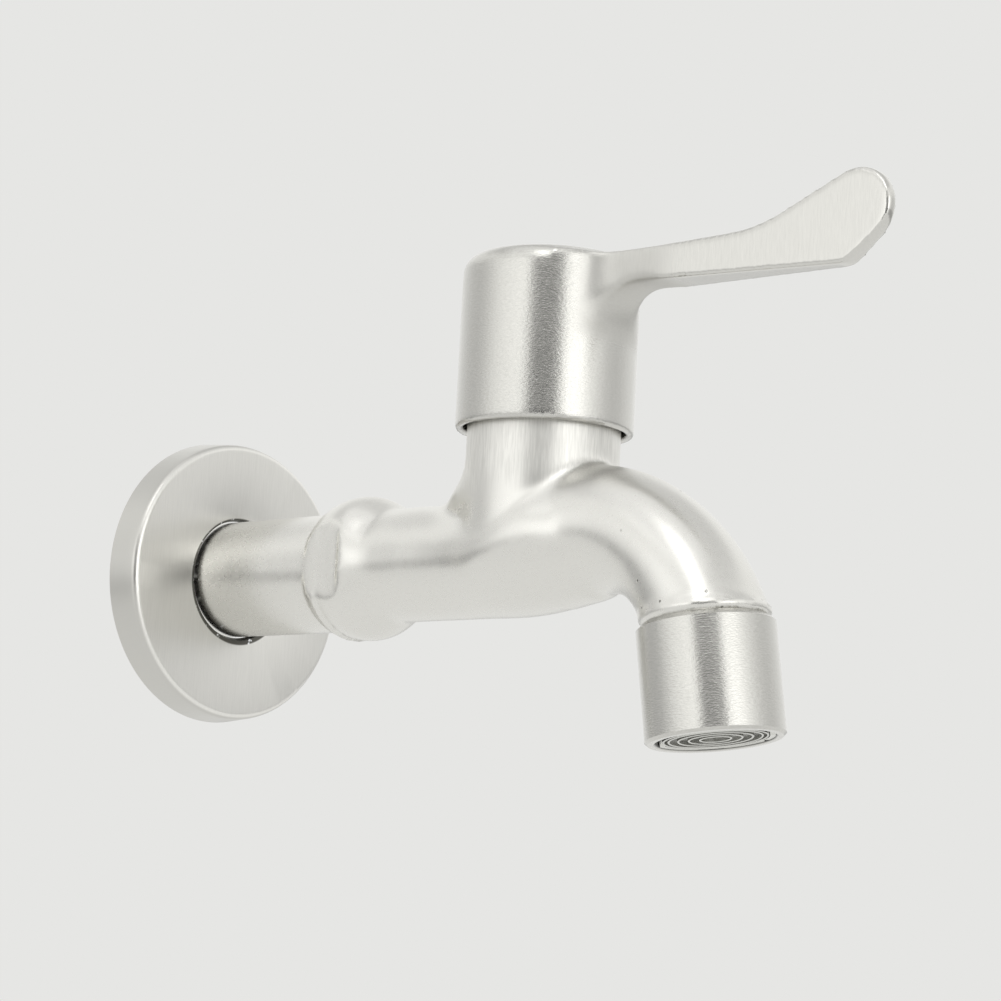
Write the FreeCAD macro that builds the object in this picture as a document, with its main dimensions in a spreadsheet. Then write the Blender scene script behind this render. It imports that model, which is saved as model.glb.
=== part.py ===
"""Cold water tap: a quarter-turn wall tap in brushed stainless steel.

Millimetres. The frame's origin is the point where the shank's axis meets the wall.
+X runs out of the wall along the shank, +Z is up, and the spout and the lever lie in the XZ plane.
"""
import FreeCAD, Part
import math
import os

import Sketcher

SIZES = {
    # shank, flange and spanner boss
    "thread_radius": 10.4775,
    "thread_length": 15.0,
    "thread_chamfer": 1.2,
    "shank_radius": 10.65,
    "inlet_bore": 6.5,
    "inlet_drop": 2.6,
    "boss_start": 34.0,
    "boss_length": 14.5,
    "boss_rim": 11.1,
    "boss_radius": 12.9,
    "boss_rise": 0.5,
    "flat_half_width": 10.7,
    "flat_length": 8.5,
    "waist_radius": 10.0,
    "waist_rise": 0.7,
    "flange_radius": 26.0,
    "flange_draft": 0.6,
    "flange_depth": 6.3,
    "flange_sheet": 1.0,
    "flange_edge": 1.2,
    "flange_clearance": 0.6,
    "flange_sag": 0.4,
    "flange_lip_turn": 1.3,
    "flange_lip_width": 1.5,
    # valve neck and seat
    "valve_x": 79.2,
    "neck_radius": 13.0,
    "neck_top": 29.5,
    "neck_foot_radius": 6.3,
    "neck_thread": 10.05,
    "neck_thread_depth": 8.5,
    "chamber_radius": 9.4,
    "seat_level": 6.0,
    "seat_port": 4.6,
    # spout
    "belly_half": 13.4,
    "spout_root_x": 86.0,
    "spout_level": 3.2,
    "spout_root_half": 11.6,
    "spout_half_width": 10.3,
    "spout_radius": 10.2,
    "spout_bore": 6.4,
    "neck_side_x": 101.2,
    "neck_side_drop": 0.3,
    "neck_side_half": 9.9,
    "neck_side_turn": 20.0,
    "elbow_x": 107.0,
    "elbow_drop": 3.6,
    "elbow_half": 9.5,
    "elbow_turn": 41.0,
    "drop_x": 111.6,
    "drop_drop": 8.2,
    "drop_half": 9.7,
    "drop_turn": 63.0,
    "outlet_x": 114.75,
    "outlet_drop": 13.0,
    "outlet_tilt": 9.0,
    "collar_radius": 10.7,
    "collar_height": 1.5,
    "spigot_radius": 9.7,
    "spigot_length": 9.3,
    "waterway": 7.0,
    # cap and lever
    "cap_radius": 15.1,
    "cap_wall": 1.4,
    "cap_bottom": 21.6,
    "cap_top": 51.4,
    "cap_roof": 3.0,
    "cap_edge": 3.0,
    "rim_edge": 0.5,
    "hub_radius": 7.0,
    "hub_bottom": 39.8,
    "lever_reach": 68.6,
    "lever_root_top": 50.3,
    "lever_root_low": 45.0,
    "lever_root_radius": 6.5,
    "lever_rise_start": 44.5,
    "lever_rise_level": 51.0,
    "lever_rise_angle": 24.3,
    "lever_rise_radius": 26.0,
    "lever_tip_radius": 6.0,
    "lever_nose_level": 49.3,
    "lever_nose_radius": 6.5,
    "lever_tip_low": 43.4,
    "lever_low_corner": 61.0,
    "lever_low_radius": 3.5,
    "lever_flare_angle": 50.0,
    "lever_plan_radius": 28.0,
    "blade_tip_half": 1.1,
    "blade_root_half": 4.3,
    # cartridge
    "gap": 0.05,
    "disc_gap": 0.02,
    "shell_bottom": 7.0,
    "sleeve_wall": 1.2,
    "shell_collar_radius": 11.8,
    "shell_collar_height": 1.8,
    "shell_hex": 18.0,
    "shell_hex_height": 3.8,
    "shell_nose_radius": 6.3,
    "shell_nose_height": 2.0,
    "window_width": 6.0,
    "window_height": 4.4,
    "seal_height": 2.0,
    "fixed_disc_height": 3.0,
    "moving_disc_height": 2.6,
    "port_radius": 5.4,
    "port_inner": 1.6,
    "foot_radius": 6.8,
    "foot_height": 2.8,
    "tongue_height": 1.0,
    "tongue_width": 2.4,
    "stem_radius": 4.5,
    "ring_section": 0.57,
    "ring_groove": 1.5,
    "lower_ring_level": 24.0,
    "upper_ring_level": 29.0,
    "washer_height": 0.6,
    "clip_height": 1.0,
    "clip_radius": 6.0,
    "clip_groove": 0.7,
    "square": 6.3,
    "square_top": 46.3,
    "shell_seal_section": 0.9,
    # grub screw
    "screw_level": 43.4,
    "screw_radius": 2.45,
    "screw_length": 9.0,
    "screw_socket": 2.5,
    "screw_socket_depth": 3.0,
    "screw_web": 4.4,
    # aerator, measured down the outlet's axis from the spout's end face
    "aerator_radius": 11.15,
    "aerator_start": 1.7,
    "aerator_end": 20.6,
    "aerator_edge": 0.8,
    "housing_bore": 9.45,
    "ledge_radius": 8.5,
    "ledge_level": 10.4,
    "ledge_height": 0.9,
    "washer_bore": 6.9,
    "insert_radius": 9.2,
    "dome_height": 0.8,
    "diffuser_height": 1.8,
    "jet_radius": 0.55,
    "jet_circle": 5.6,
    "core_height": 4.2,
    "core_bore": 7.8,
    "screen_height": 0.3,
    "grid_height": 1.0,
    "grid_rim": 7.9,
    "grid_pitch": 1.45,
    "grid_wall": 0.45,
    "spoke_width": 0.6,
    "ring_height": 1.6,
    "ring_bore": 7.8,
    "notch_width": 2.4,
    "notch_depth": 0.9,
}


class Size:
    """A length or an angle: its value now and the expression that gives it."""

    def __init__(self, value, text):
        self.value = value
        self.text = text

    def __add__(self, other):
        other = as_size(other)
        return Size(self.value + other.value, f"({self.text} + {other.text})")

    def __sub__(self, other):
        other = as_size(other)
        return Size(self.value - other.value, f"({self.text} - {other.text})")

    def __mul__(self, other):
        other = as_size(other)
        return Size(self.value * other.value, f"({self.text} * {other.text})")

    def __truediv__(self, other):
        other = as_size(other)
        return Size(self.value / other.value, f"({self.text} / {other.text})")

    def __rsub__(self, other):
        return as_size(other) - self

    def __neg__(self):
        return Size(-self.value, f"(0 - {self.text})")

    __radd__ = __add__
    __rmul__ = __mul__


def as_size(number):
    """Take a plain number or a Size."""
    if isinstance(number, Size):
        return number
    return Size(float(number), repr(float(number)))


def cosine(angle):
    return Size(math.cos(math.radians(angle.value)), f"cos({angle.text})")


def sine(angle):
    return Size(math.sin(math.radians(angle.value)), f"sin({angle.text})")


def tangent(angle):
    return Size(math.tan(math.radians(angle.value)), f"tan({angle.text})")


doc = FreeCAD.newDocument("Tap")
sheet = doc.addObject("Spreadsheet::Sheet", "Sizes")
for row, (name, value) in enumerate(SIZES.items(), start=1):
    sheet.set(f"A{row}", name)
    sheet.set(f"B{row}", str(value))
    sheet.setAlias(f"B{row}", name)
doc.recompute()


class Names:
    """The sheet's cells as sizes: at.cap_radius is the cell with that alias."""

    def __getattr__(self, name):
        return Size(SIZES[name], f"Sizes.{name}")


at = Names()
ZERO = as_size(0.0)


# Sketch and feature helpers

def new_body(label, x=None):
    """A body, moved out along X to its axis if one is given."""
    body = doc.addObject("PartDesign::Body", label)
    body.Label = label
    if x is not None:
        body.Placement = FreeCAD.Placement(FreeCAD.Vector(x.value, 0, 0), FreeCAD.Rotation())
        body.setExpression("Placement.Base.x", x.text)
    return body


def new_sketch(body, name, plane="XZ_Plane", offset=None):
    """A sketch on one of the body's own origin planes, lifted off it by offset."""
    sketch = body.newObject("Sketcher::SketchObject", name)
    origin_plane = [f for f in body.Origin.OriginFeatures if f.Role == plane][0]
    sketch.AttachmentSupport = [(origin_plane, "")]
    sketch.MapMode = "FlatFace"
    if offset is not None:
        sketch.AttachmentOffset = FreeCAD.Placement(FreeCAD.Vector(0, 0, offset.value), FreeCAD.Rotation())
        sketch.setExpression("AttachmentOffset.Base.z", offset.text)
    return sketch


def hold(sketch, kind, *where, size):
    """Add one dimension to a sketch and tie it to its size."""
    index = sketch.addConstraint(Sketcher.Constraint(kind, *where, size.value))
    if "Sizes." in size.text:
        sketch.setExpression(f"Constraints[{index}]", size.text)


def outline(sketch, corners):
    """A closed loop of straight lines, each corner held by its two distances."""
    corners = [(as_size(x), as_size(y)) for x, y in corners]
    points = [FreeCAD.Vector(x.value, y.value, 0) for x, y in corners]
    first = sketch.GeometryCount
    count = len(points)
    for i in range(count):
        sketch.addGeometry(Part.LineSegment(points[i], points[(i + 1) % count]), False)
    for i in range(count):
        sketch.addConstraint(Sketcher.Constraint("Coincident", first + i, 2, first + (i + 1) % count, 1))
    for i, (x, y) in enumerate(corners):
        hold(sketch, "DistanceX", first + i, 1, size=x)
        hold(sketch, "DistanceY", first + i, 1, size=y)


def circle(sketch, x, y, radius):
    """A circle held by its centre and radius."""
    x, y, radius = as_size(x), as_size(y), as_size(radius)
    where = sketch.addGeometry(Part.Circle(FreeCAD.Vector(x.value, y.value, 0), FreeCAD.Vector(0, 0, 1),
                                           radius.value), False)
    hold(sketch, "DistanceX", where, 3, size=x)
    hold(sketch, "DistanceY", where, 3, size=y)
    hold(sketch, "Radius", where, size=radius)


def axis_line(sketch, start, end):
    """A construction line that a revolution turns about."""
    start = [as_size(v) for v in start]
    end = [as_size(v) for v in end]
    line = Part.LineSegment(FreeCAD.Vector(start[0].value, start[1].value, 0),
                            FreeCAD.Vector(end[0].value, end[1].value, 0))
    where = sketch.addGeometry(line, True)
    for spot, point in ((1, start), (2, end)):
        hold(sketch, "DistanceX", where, spot, size=point[0])
        hold(sketch, "DistanceY", where, spot, size=point[1])


def revolve(body, name, sketch, axis="V_Axis", groove=False, angle=None, midplane=False, flip=False):
    """Turn a profile about a line of its own sketch."""
    kind = "PartDesign::Groove" if groove else "PartDesign::Revolution"
    feature = body.newObject(kind, name)
    feature.Refine = False
    feature.Profile = sketch
    feature.ReferenceAxis = (sketch, [axis])
    feature.Angle = 360.0
    if angle is not None:
        feature.Angle = angle.value
        feature.setExpression("Angle", angle.text)
    feature.Midplane = midplane
    feature.Reversed = flip
    return feature


def extrude(body, name, sketch, length, pocket=False, midplane=False, flip=False):
    """Pad or pocket a sketch by a length."""
    feature = body.newObject("PartDesign::Pocket" if pocket else "PartDesign::Pad", name)
    feature.Refine = False
    feature.Profile = sketch
    feature.Type = "Length"
    feature.Length = length.value
    feature.setExpression("Length", length.text)
    if midplane:
        feature.Midplane = True
    feature.Reversed = flip
    return feature


def edges_where(shape, test):
    """Names of the edges that pass a test."""
    return [f"Edge{i}" for i, edge in enumerate(shape.Edges, start=1) if test(edge)]


def fillet(body, name, base, radius, test):
    """Round the edges of the body's last feature that pass a test."""
    doc.recompute()
    feature = body.newObject("PartDesign::Fillet", name)
    feature.Base = (base, edges_where(base.Shape, test))
    feature.Radius = radius.value
    feature.setExpression("Radius", radius.text)
    return feature


def ring_edge_at(radius, height):
    """A test for a circular edge about Z with a radius and a height."""
    def test(edge):
        curve = edge.Curve
        if not isinstance(curve, Part.Circle):
            return False
        return abs(curve.Radius - radius.value) < 0.02 and abs(curve.Center.z - height.value) < 0.02
    return test


def turned(label, corners, x=None):
    """A plain turned piece: corners are (radius, height) about the Z axis."""
    body = new_body(label, x)
    sketch = new_sketch(body, f"{label}_profile")
    outline(sketch, corners)
    revolve(body, f"{label}_turned", sketch)
    return body


def tilt_to_outlet(body):
    """Put a piece drawn down the Z axis onto the outlet's axis."""
    body.Placement = FreeCAD.Placement(FreeCAD.Vector(outlet_x.value, 0, outlet_z.value),
                                       FreeCAD.Rotation(FreeCAD.Vector(0, 1, 0), -at.outlet_tilt.value))
    body.setExpression("Placement.Base.x", outlet_x.text)
    body.setExpression("Placement.Base.z", outlet_z.text)
    body.setExpression("Placement.Rotation.Angle", (-at.outlet_tilt).text)


# Shares that shape the casting's free forms

# Boss: how far along its length, and how much of its swell is reached there
BOSS_SWELL = ((0.14, 0.52), (0.29, 0.89))
# Boss: how far along its length, and how much of the fall to the waist is behind
BOSS_FALL = ((0.6, 0.13), (0.74, 0.45), (0.87, 0.8))
BOSS_CREST = 0.45
# Waist: how much of the widening to the belly is reached at each evenly spaced station
WAIST_SWELL = (0.0, 0.0, 0.0, 0.07, 0.36, 0.84)
# Neck's foot: height above the waist and reach towards the wall, in foot radii, and side inset in mm
NECK_FOOT = (
    (-0.6, 0.45, 2.6), (-0.22, 0.84, 1.8), (0.0, 0.9, 1.3), (0.05, 0.69, 1.1), (0.15, 0.47, 0.8),
    (0.3, 0.286, 0.6), (0.5, 0.134, 0.4), (0.75, 0.03, 0.25), (1.0, -0.02, 0.12),
)

# Derived places: the spout's end face and the cartridge's levels

outlet_x = at.outlet_x
outlet_z = at.spout_level - at.outlet_drop

sleeve_radius = at.chamber_radius - 0.2
pocket_radius = sleeve_radius - at.sleeve_wall
seal_top = at.seat_level + at.seal_height
fixed_top = seal_top + at.fixed_disc_height
moving_bottom = fixed_top + at.disc_gap
moving_top = moving_bottom + at.moving_disc_height
foot_bottom = moving_top + at.gap
foot_top = foot_bottom + at.foot_height
pocket_top = foot_top + at.gap
collar_bottom = at.neck_top + at.gap * 2
collar_top = collar_bottom + at.shell_collar_height
hex_top = collar_top + at.shell_hex_height
nose_top = hex_top + at.shell_nose_height
seal_floor = at.neck_top - at.shell_seal_section * 2.0
seal_middle = at.neck_thread + at.shell_seal_section
seal_wall = seal_middle + at.shell_seal_section + at.gap
stem_bore = at.stem_radius + at.gap
washer_bottom = nose_top + at.gap
washer_top = washer_bottom + at.washer_height
clip_bottom = washer_top + at.gap
clip_top = clip_bottom + at.clip_height


def tap_body():
    """The casting: shank, boss, waist, neck and spout, with its waterways."""
    body = new_body("body")

    shank = new_sketch(body, "shank_profile")
    outline(shank, [
        (-at.thread_length, 0),
        (-at.thread_length, at.thread_radius - at.thread_chamfer),
        (-at.thread_length + at.thread_chamfer, at.thread_radius),
        (0, at.thread_radius),
        (0, at.shank_radius),
        (at.boss_start + 1.0, at.shank_radius),
        (at.boss_start + 1.0, 0),
    ])
    revolve(body, "shank", shank, "H_Axis")

    boss = new_sketch(body, "boss_profile")
    dome_end = at.boss_start + at.boss_length
    swell = at.boss_radius - at.boss_rim
    fall = at.boss_radius - at.waist_radius
    crest = at.boss_rise + at.boss_radius
    barrel = [(at.boss_start, at.boss_rise), (at.boss_start, at.boss_rise + at.boss_rim)]
    barrel += [(at.boss_start + at.boss_length * along, at.boss_rise + at.boss_rim + swell * share)
               for along, share in BOSS_SWELL]
    barrel.append((at.boss_start + at.boss_length * BOSS_CREST, crest))
    barrel += [(at.boss_start + at.boss_length * along, crest - fall * share) for along, share in BOSS_FALL]
    barrel += [(dome_end, at.boss_rise + at.waist_radius - 0.6), (dome_end, at.boss_rise)]
    outline(boss, barrel)
    axis_line(boss, (at.boss_start, at.boss_rise), (at.boss_start + 10.0, at.boss_rise))
    revolve(body, "boss", boss, "Axis0")

    flats = new_sketch(body, "spanner_flats", "XY_Plane", -(at.boss_radius + 1.0))
    for side in (1.0, -1.0):
        outline(flats, [
            (at.boss_start - 0.5, at.flat_half_width * side),
            (at.boss_start + at.flat_length, at.flat_half_width * side),
            (at.boss_start + at.flat_length + 2.0, (at.boss_radius + 1.0) * side),
            (at.boss_start - 0.5, (at.boss_radius + 1.0) * side),
        ])
    extrude(body, "spanner_flats_cut", flats, (at.boss_radius + 1.0) * 2.0, pocket=True, flip=True)

    waist_half = at.waist_radius + 0.3
    waist_start = dome_end - 2.0
    waist_end = at.valve_x - at.neck_foot_radius * 0.6
    run = []
    for i, swell in enumerate(WAIST_SWELL):
        along = waist_start + (waist_end - waist_start) * (i / (len(WAIST_SWELL) - 1))
        wide = waist_half + (at.belly_half - waist_half) * swell
        run.append((along, at.waist_rise, at.waist_radius, wide, ZERO))
    run += [
        (at.valve_x + 1.8, at.spout_level * 0.64, at.spout_root_half - 0.7, at.belly_half, ZERO),
        (at.valve_x + 7.8, at.spout_level, at.spout_root_half - 0.4, at.belly_half - 0.8, ZERO),
        (at.valve_x + 13.8, at.spout_level, at.spout_root_half - 1.4, at.spout_half_width, ZERO),
    ]
    oval_loft(body, "casting_run", run)
    root = (at.spout_root_x, at.spout_level, at.spout_root_half, at.spout_root_half + 0.3, ZERO)
    oval_loft(body, "spout", [root] + spout_stations(ZERO, at.collar_height * 0.5))

    foot = at.neck_foot_radius
    neck_ovals = []
    for i, (height, reach, inset) in enumerate(NECK_FOOT):
        reach_back = at.neck_radius + foot * reach
        across = at.neck_radius - inset
        long = (reach_back + across) * 0.5
        level = at.waist_rise + at.waist_radius + foot * height
        middle = at.valve_x + across - long
        neck_ovals.append(level_oval(body, f"neck_foot_section_{i}", middle, level, long, across))
    loft = body.newObject("PartDesign::AdditiveLoft", "neck_foot")
    loft.Ruled = True
    loft.Refine = False
    loft.Profile = neck_ovals[0]
    loft.Sections = neck_ovals[1:]

    neck = new_sketch(body, "neck_profile")
    outline(neck, [
        (at.valve_x, -(at.waist_radius * 0.5)),
        (at.valve_x + at.waist_radius * 0.7, -(at.waist_radius * 0.5)),
        (at.valve_x + at.neck_radius, 4.0),
        (at.valve_x + at.neck_radius, at.neck_top),
        (at.valve_x, at.neck_top),
    ])
    axis_line(neck, (at.valve_x, -20.0), (at.valve_x, 40.0))
    revolve(body, "neck", neck, "Axis0")

    spigot = new_sketch(body, "spigot_profile")
    outline(spigot, [along_outlet(r, s) for r, s in (
        (0, 0.0),
        (at.collar_radius, 0.0),
        (at.collar_radius, at.collar_height - 0.3),
        (at.collar_radius - 0.3, at.collar_height),
        (at.spigot_radius, at.collar_height),
        (at.spigot_radius, at.spigot_length),
        (0, at.spigot_length),
    )])
    axis_line(spigot, along_outlet(0, -5.0), along_outlet(0, 20.0))
    revolve(body, "spigot", spigot, "Axis0")

    inlet = new_sketch(body, "inlet_bore", "YZ_Plane", -at.thread_length - 1.0)
    circle(inlet, 0, 0, at.inlet_bore)
    extrude(body, "inlet_bore_cut", inlet, at.thread_length + 1.0 + at.boss_start, pocket=True, flip=True)
    feed = new_sketch(body, "feed_bore", "YZ_Plane", at.boss_start - 1.0)
    circle(feed, 0, -at.inlet_drop, at.inlet_bore - 0.6)
    extrude(body, "feed_bore_cut", feed, at.valve_x - at.boss_start + 1.0, pocket=True, flip=True)

    bore = new_sketch(body, "neck_bore")
    outline(bore, [
        (at.valve_x, -at.inlet_drop),
        (at.valve_x + at.seat_port, -at.inlet_drop),
        (at.valve_x + at.seat_port, at.seat_level),
        (at.valve_x + at.chamber_radius, at.seat_level),
        (at.valve_x + at.chamber_radius, at.neck_top - at.neck_thread_depth),
        (at.valve_x + at.neck_thread, at.neck_top - at.neck_thread_depth),
        (at.valve_x + at.neck_thread, seal_floor),
        (at.valve_x + seal_wall, seal_floor),
        (at.valve_x + seal_wall, at.neck_top + 1.0),
        (at.valve_x, at.neck_top + 1.0),
    ])
    axis_line(bore, (at.valve_x, -20.0), (at.valve_x, 40.0))
    revolve(body, "neck_bore_cut", bore, "Axis0", groove=True)

    wall = at.spout_radius - at.spout_bore
    way_start = (at.spout_root_x + wall * 0.35, at.spout_level + wall * 0.1,
                 at.spout_root_half - wall * 1.35, at.spout_half_width - wall, ZERO)
    oval_loft(body, "spout_way", [way_start] + spout_stations(wall, -0.5), hollow=True)
    out = new_sketch(body, "outlet_way")
    outline(out, [along_outlet(r, s) for r, s in (
        (0, -1.5), (at.spout_bore + 0.3, -1.5), (at.waterway, 1.5), (at.waterway, at.spigot_length + 1.0),
        (0, at.spigot_length + 1.0),
    )])
    axis_line(out, along_outlet(0, -5.0), along_outlet(0, 20.0))
    revolve(body, "outlet_way_cut", out, "Axis0", groove=True)
    return body


def spout_stations(wall, end):
    """Oval stations down the spout, less a wall: x, level, half height, half width and downward turn."""
    tip_x, tip_z = along_outlet(0, end)
    wide = at.spout_half_width - wall
    return [
        (at.neck_side_x, at.spout_level - at.neck_side_drop, at.neck_side_half - wall, wide,
         at.neck_side_turn),
        (at.elbow_x, at.spout_level - at.elbow_drop, at.elbow_half - wall, wide, at.elbow_turn),
        (at.drop_x, at.spout_level - at.drop_drop, at.drop_half - wall, wide, at.drop_turn),
        (tip_x, tip_z, at.spout_radius - wall, wide, 90.0 - at.outlet_tilt),
    ]


def oval_loft(body, name, stations, hollow=False):
    """One smooth skin through the oval stations, added to the body or cut from it."""
    sections = [tilted_oval(body, f"{name}_section_{i}", *station) for i, station in enumerate(stations)]
    loft = body.newObject("PartDesign::SubtractiveLoft" if hollow else "PartDesign::AdditiveLoft", name)
    loft.Refine = False
    loft.Profile = sections[0]
    loft.Sections = sections[1:]
    return loft


def tilted_oval(body, name, x, z, half, wide, turn):
    """An oval across the spout's line; turn is how far that line points down."""
    sketch = new_sketch(body, name, "YZ_Plane", x)
    sketch.AttachmentOffset = FreeCAD.Placement(FreeCAD.Vector(0, z.value, x.value),
                                                FreeCAD.Rotation(FreeCAD.Vector(1, 0, 0), turn.value))
    sketch.setExpression("AttachmentOffset.Base.y", z.text)
    sketch.setExpression("AttachmentOffset.Rotation.Angle", turn.text)
    return oval(sketch, half, wide)


def level_oval(body, name, x, z, long, wide):
    """A level oval round an upright line at x."""
    sketch = new_sketch(body, name, "XY_Plane", z)
    sketch.AttachmentOffset = FreeCAD.Placement(FreeCAD.Vector(x.value, 0, z.value), FreeCAD.Rotation())
    sketch.setExpression("AttachmentOffset.Base.x", x.text)
    return oval(sketch, wide, long)


def oval(sketch, half, wide):
    """An ellipse about the sketch's origin; half is its reach along Y and wide along X."""
    upright = half.value > wide.value
    major, minor = (half, wide) if upright else (wide, half)
    ellipse = Part.Ellipse(FreeCAD.Vector(0, 0, 0), major.value, minor.value)
    if upright:
        quarter = FreeCAD.Rotation(FreeCAD.Vector(0, 0, 1), 90)
        ellipse.rotate(FreeCAD.Placement(FreeCAD.Vector(0, 0, 0), quarter))
    where = sketch.addGeometry(ellipse, False)
    sketch.exposeInternalGeometry(where)
    axes = [i for i, g in enumerate(sketch.Geometry) if isinstance(g, Part.LineSegment)]
    lengths = sorted(axes, key=lambda i: -sketch.Geometry[i].length())
    sketch.addConstraint(Sketcher.Constraint("Coincident", where, 3, -1, 1))
    sketch.addConstraint(Sketcher.Constraint("Vertical" if upright else "Horizontal", lengths[0]))
    hold(sketch, "Distance", lengths[0], size=major * 2.0)
    hold(sketch, "Distance", lengths[1], size=minor * 2.0)
    return sketch


def along_outlet(radius, depth):
    """A point of the XZ plane, given as a radius from the outlet's axis and a depth down it."""
    radius, depth = as_size(radius), as_size(depth)
    return (outlet_x + depth * sine(at.outlet_tilt) + radius * cosine(at.outlet_tilt),
            outlet_z - depth * cosine(at.outlet_tilt) + radius * sine(at.outlet_tilt))


def wall_flange():
    """A pressed cup whose hole is turned back into a short lip round the shank."""
    hole = at.shank_radius + at.flange_clearance
    front = at.flange_radius - at.flange_draft
    body = new_body("wall_flange")
    sketch = new_sketch(body, "flange_profile")
    sheet = at.flange_sheet
    outline(sketch, [(x, r - at.flange_sag) for x, r in (
        (ZERO, at.flange_radius),
        (ZERO, at.flange_radius - sheet),
        (at.flange_depth - sheet, front - sheet),
        (at.flange_depth - sheet, hole + at.flange_lip_width + sheet * 0.5),
        (at.flange_depth - at.flange_lip_turn - sheet * 0.6, hole + sheet * 0.7),
        (at.flange_depth - at.flange_lip_turn, hole),
        (at.flange_depth - at.flange_lip_turn * 0.3, hole + at.flange_lip_width * 0.4),
        (at.flange_depth, hole + at.flange_lip_width),
        (at.flange_depth, front),
    )])
    axis_line(sketch, (0.0, ZERO - at.flange_sag), (10.0, ZERO - at.flange_sag))
    cup = revolve(body, "cup", sketch, "Axis0")
    fillet(body, "cup_edge", cup, at.flange_edge, lambda edge: isinstance(edge.Curve, Part.Circle)
           and abs(edge.Curve.Radius - front.value) < 0.02
           and abs(edge.Curve.Center.x - at.flange_depth.value) < 0.02)
    return body


def cap():
    """The handle's cap: a skirt, a thick roof, the hub with its square socket and the screw's web."""
    body = new_body("handle_cap", at.valve_x)
    sketch = new_sketch(body, "cap_profile")
    inner = at.cap_radius - at.cap_wall
    ceiling = at.cap_top - at.cap_roof
    outline(sketch, [
        (inner, at.cap_bottom),
        (at.cap_radius, at.cap_bottom),
        (at.cap_radius, at.cap_top),
        (0, at.cap_top),
        (0, at.hub_bottom),
        (at.hub_radius, at.hub_bottom),
        (at.hub_radius, ceiling),
        (inner, ceiling),
    ])
    shell = revolve(body, "cap_turned", sketch)
    rounded = fillet(body, "cap_top_edge", shell, at.cap_edge, ring_edge_at(at.cap_radius, at.cap_top))
    fillet(body, "cap_rim_edge", rounded, at.rim_edge, lambda edge: isinstance(edge.Curve, Part.Circle)
           and abs(edge.Curve.Center.z - at.cap_bottom.value) < 0.02)

    web = new_sketch(body, "screw_web_section", "YZ_Plane", -(at.cap_radius - at.cap_wall * 0.5))
    outline(web, [
        (-at.screw_web, at.screw_level - at.screw_web * 0.8),
        (at.screw_web, at.screw_level - at.screw_web * 0.8),
        (at.screw_web, ceiling + 0.5),
        (-at.screw_web, ceiling + 0.5),
    ])
    extrude(body, "screw_web_pad", web, at.cap_radius - at.cap_wall * 0.5 - at.hub_radius * 0.5)

    socket = new_sketch(body, "square_socket", "XY_Plane", at.hub_bottom - 1.0)
    half = at.square / 2.0 + at.gap
    outline(socket, [(-half, -half), (half, -half), (half, half), (-half, half)])
    extrude(body, "square_socket_cut", socket, at.square_top - at.hub_bottom + 1.3, pocket=True, flip=True)

    tapped = new_sketch(body, "screw_hole_section", "YZ_Plane", -(at.cap_radius + 1.0))
    circle(tapped, 0, at.screw_level, at.screw_radius + at.gap)
    extrude(body, "screw_hole_cut", tapped, at.cap_radius + 1.0, pocket=True, flip=True)
    return body


def lever_form():
    """The lever's side outline, turned about the valve's axis so that its root follows the cap."""
    body = new_body("lever_form", at.valve_x)
    sketch = new_sketch(body, "lever_side")
    inside = at.cap_radius - at.cap_wall * 0.7
    tip_corner = at.lever_rise_level + (at.lever_reach - at.lever_rise_start) * tangent(at.lever_rise_angle)
    below_root = at.lever_root_low - at.lever_root_radius - 2.0
    under_top = at.cap_radius - at.cap_edge * 2.0
    outline(sketch, [
        (under_top, at.lever_root_top),
        (at.lever_rise_start * 0.55, at.lever_root_top),
        (at.lever_rise_start, at.lever_rise_level),
        (at.lever_reach, tip_corner),
        (at.lever_reach, at.lever_nose_level),
        (at.lever_low_corner, at.lever_tip_low),
        (at.cap_radius, at.lever_root_low),
        (at.cap_radius, below_root),
        (inside, below_root),
        (inside, at.lever_root_top - at.cap_wall),
        (under_top, at.lever_root_top - at.cap_wall),
    ])
    last = revolve(body, "lever_turned", sketch, angle=as_size(130.0), midplane=True)
    rounds = (
        ("lever_rise_round", at.lever_rise_start, at.lever_rise_level, at.lever_rise_radius),
        ("lever_tip_round", at.lever_reach, tip_corner, at.lever_tip_radius),
        ("lever_nose_round", at.lever_reach, at.lever_nose_level, at.lever_nose_radius),
        ("lever_low_round", at.lever_low_corner, at.lever_tip_low, at.lever_low_radius),
        ("lever_root_round", at.cap_radius, at.lever_root_low, at.lever_root_radius),
    )
    for name, radius, level, size in rounds:
        last = fillet(body, name, last, size, ring_edge_at(radius, level))
    return body


def lever_plan():
    """The lever's outline from above: a thin blade that widens into the cap's side."""
    body = new_body("lever_plan", at.valve_x)
    sketch = new_sketch(body, "lever_plan_outline", "XY_Plane", at.lever_root_low - 12.0)
    turn = at.lever_flare_angle
    on_cap = (at.cap_radius * cosine(turn), at.cap_radius * sine(turn))
    run = (at.cap_radius * sine(turn) - at.blade_root_half) / cosine(turn)
    corner = (on_cap[0] + run * sine(turn), at.blade_root_half)
    tip = (at.lever_reach + 1.0, at.blade_tip_half)
    outline(sketch, [
        (0, -on_cap[1]),
        (on_cap[0], -on_cap[1]),
        (corner[0], -corner[1]),
        (tip[0], -tip[1]),
        tip,
        corner,
        on_cap,
        (0, on_cap[1]),
    ])
    pad = extrude(body, "lever_plan_pad", sketch, as_size(40.0))
    fillet(body, "lever_plan_flare", pad, at.lever_plan_radius,
           lambda edge: is_upright(edge) and abs(edge.CenterOfMass.x - corner[0].value) < 0.05)
    return body


def is_upright(edge):
    ends = [vertex.Point for vertex in edge.Vertexes]
    return len(ends) == 2 and (ends[0] - ends[1]).cross(FreeCAD.Vector(0, 0, 1)).Length < 0.001


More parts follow.
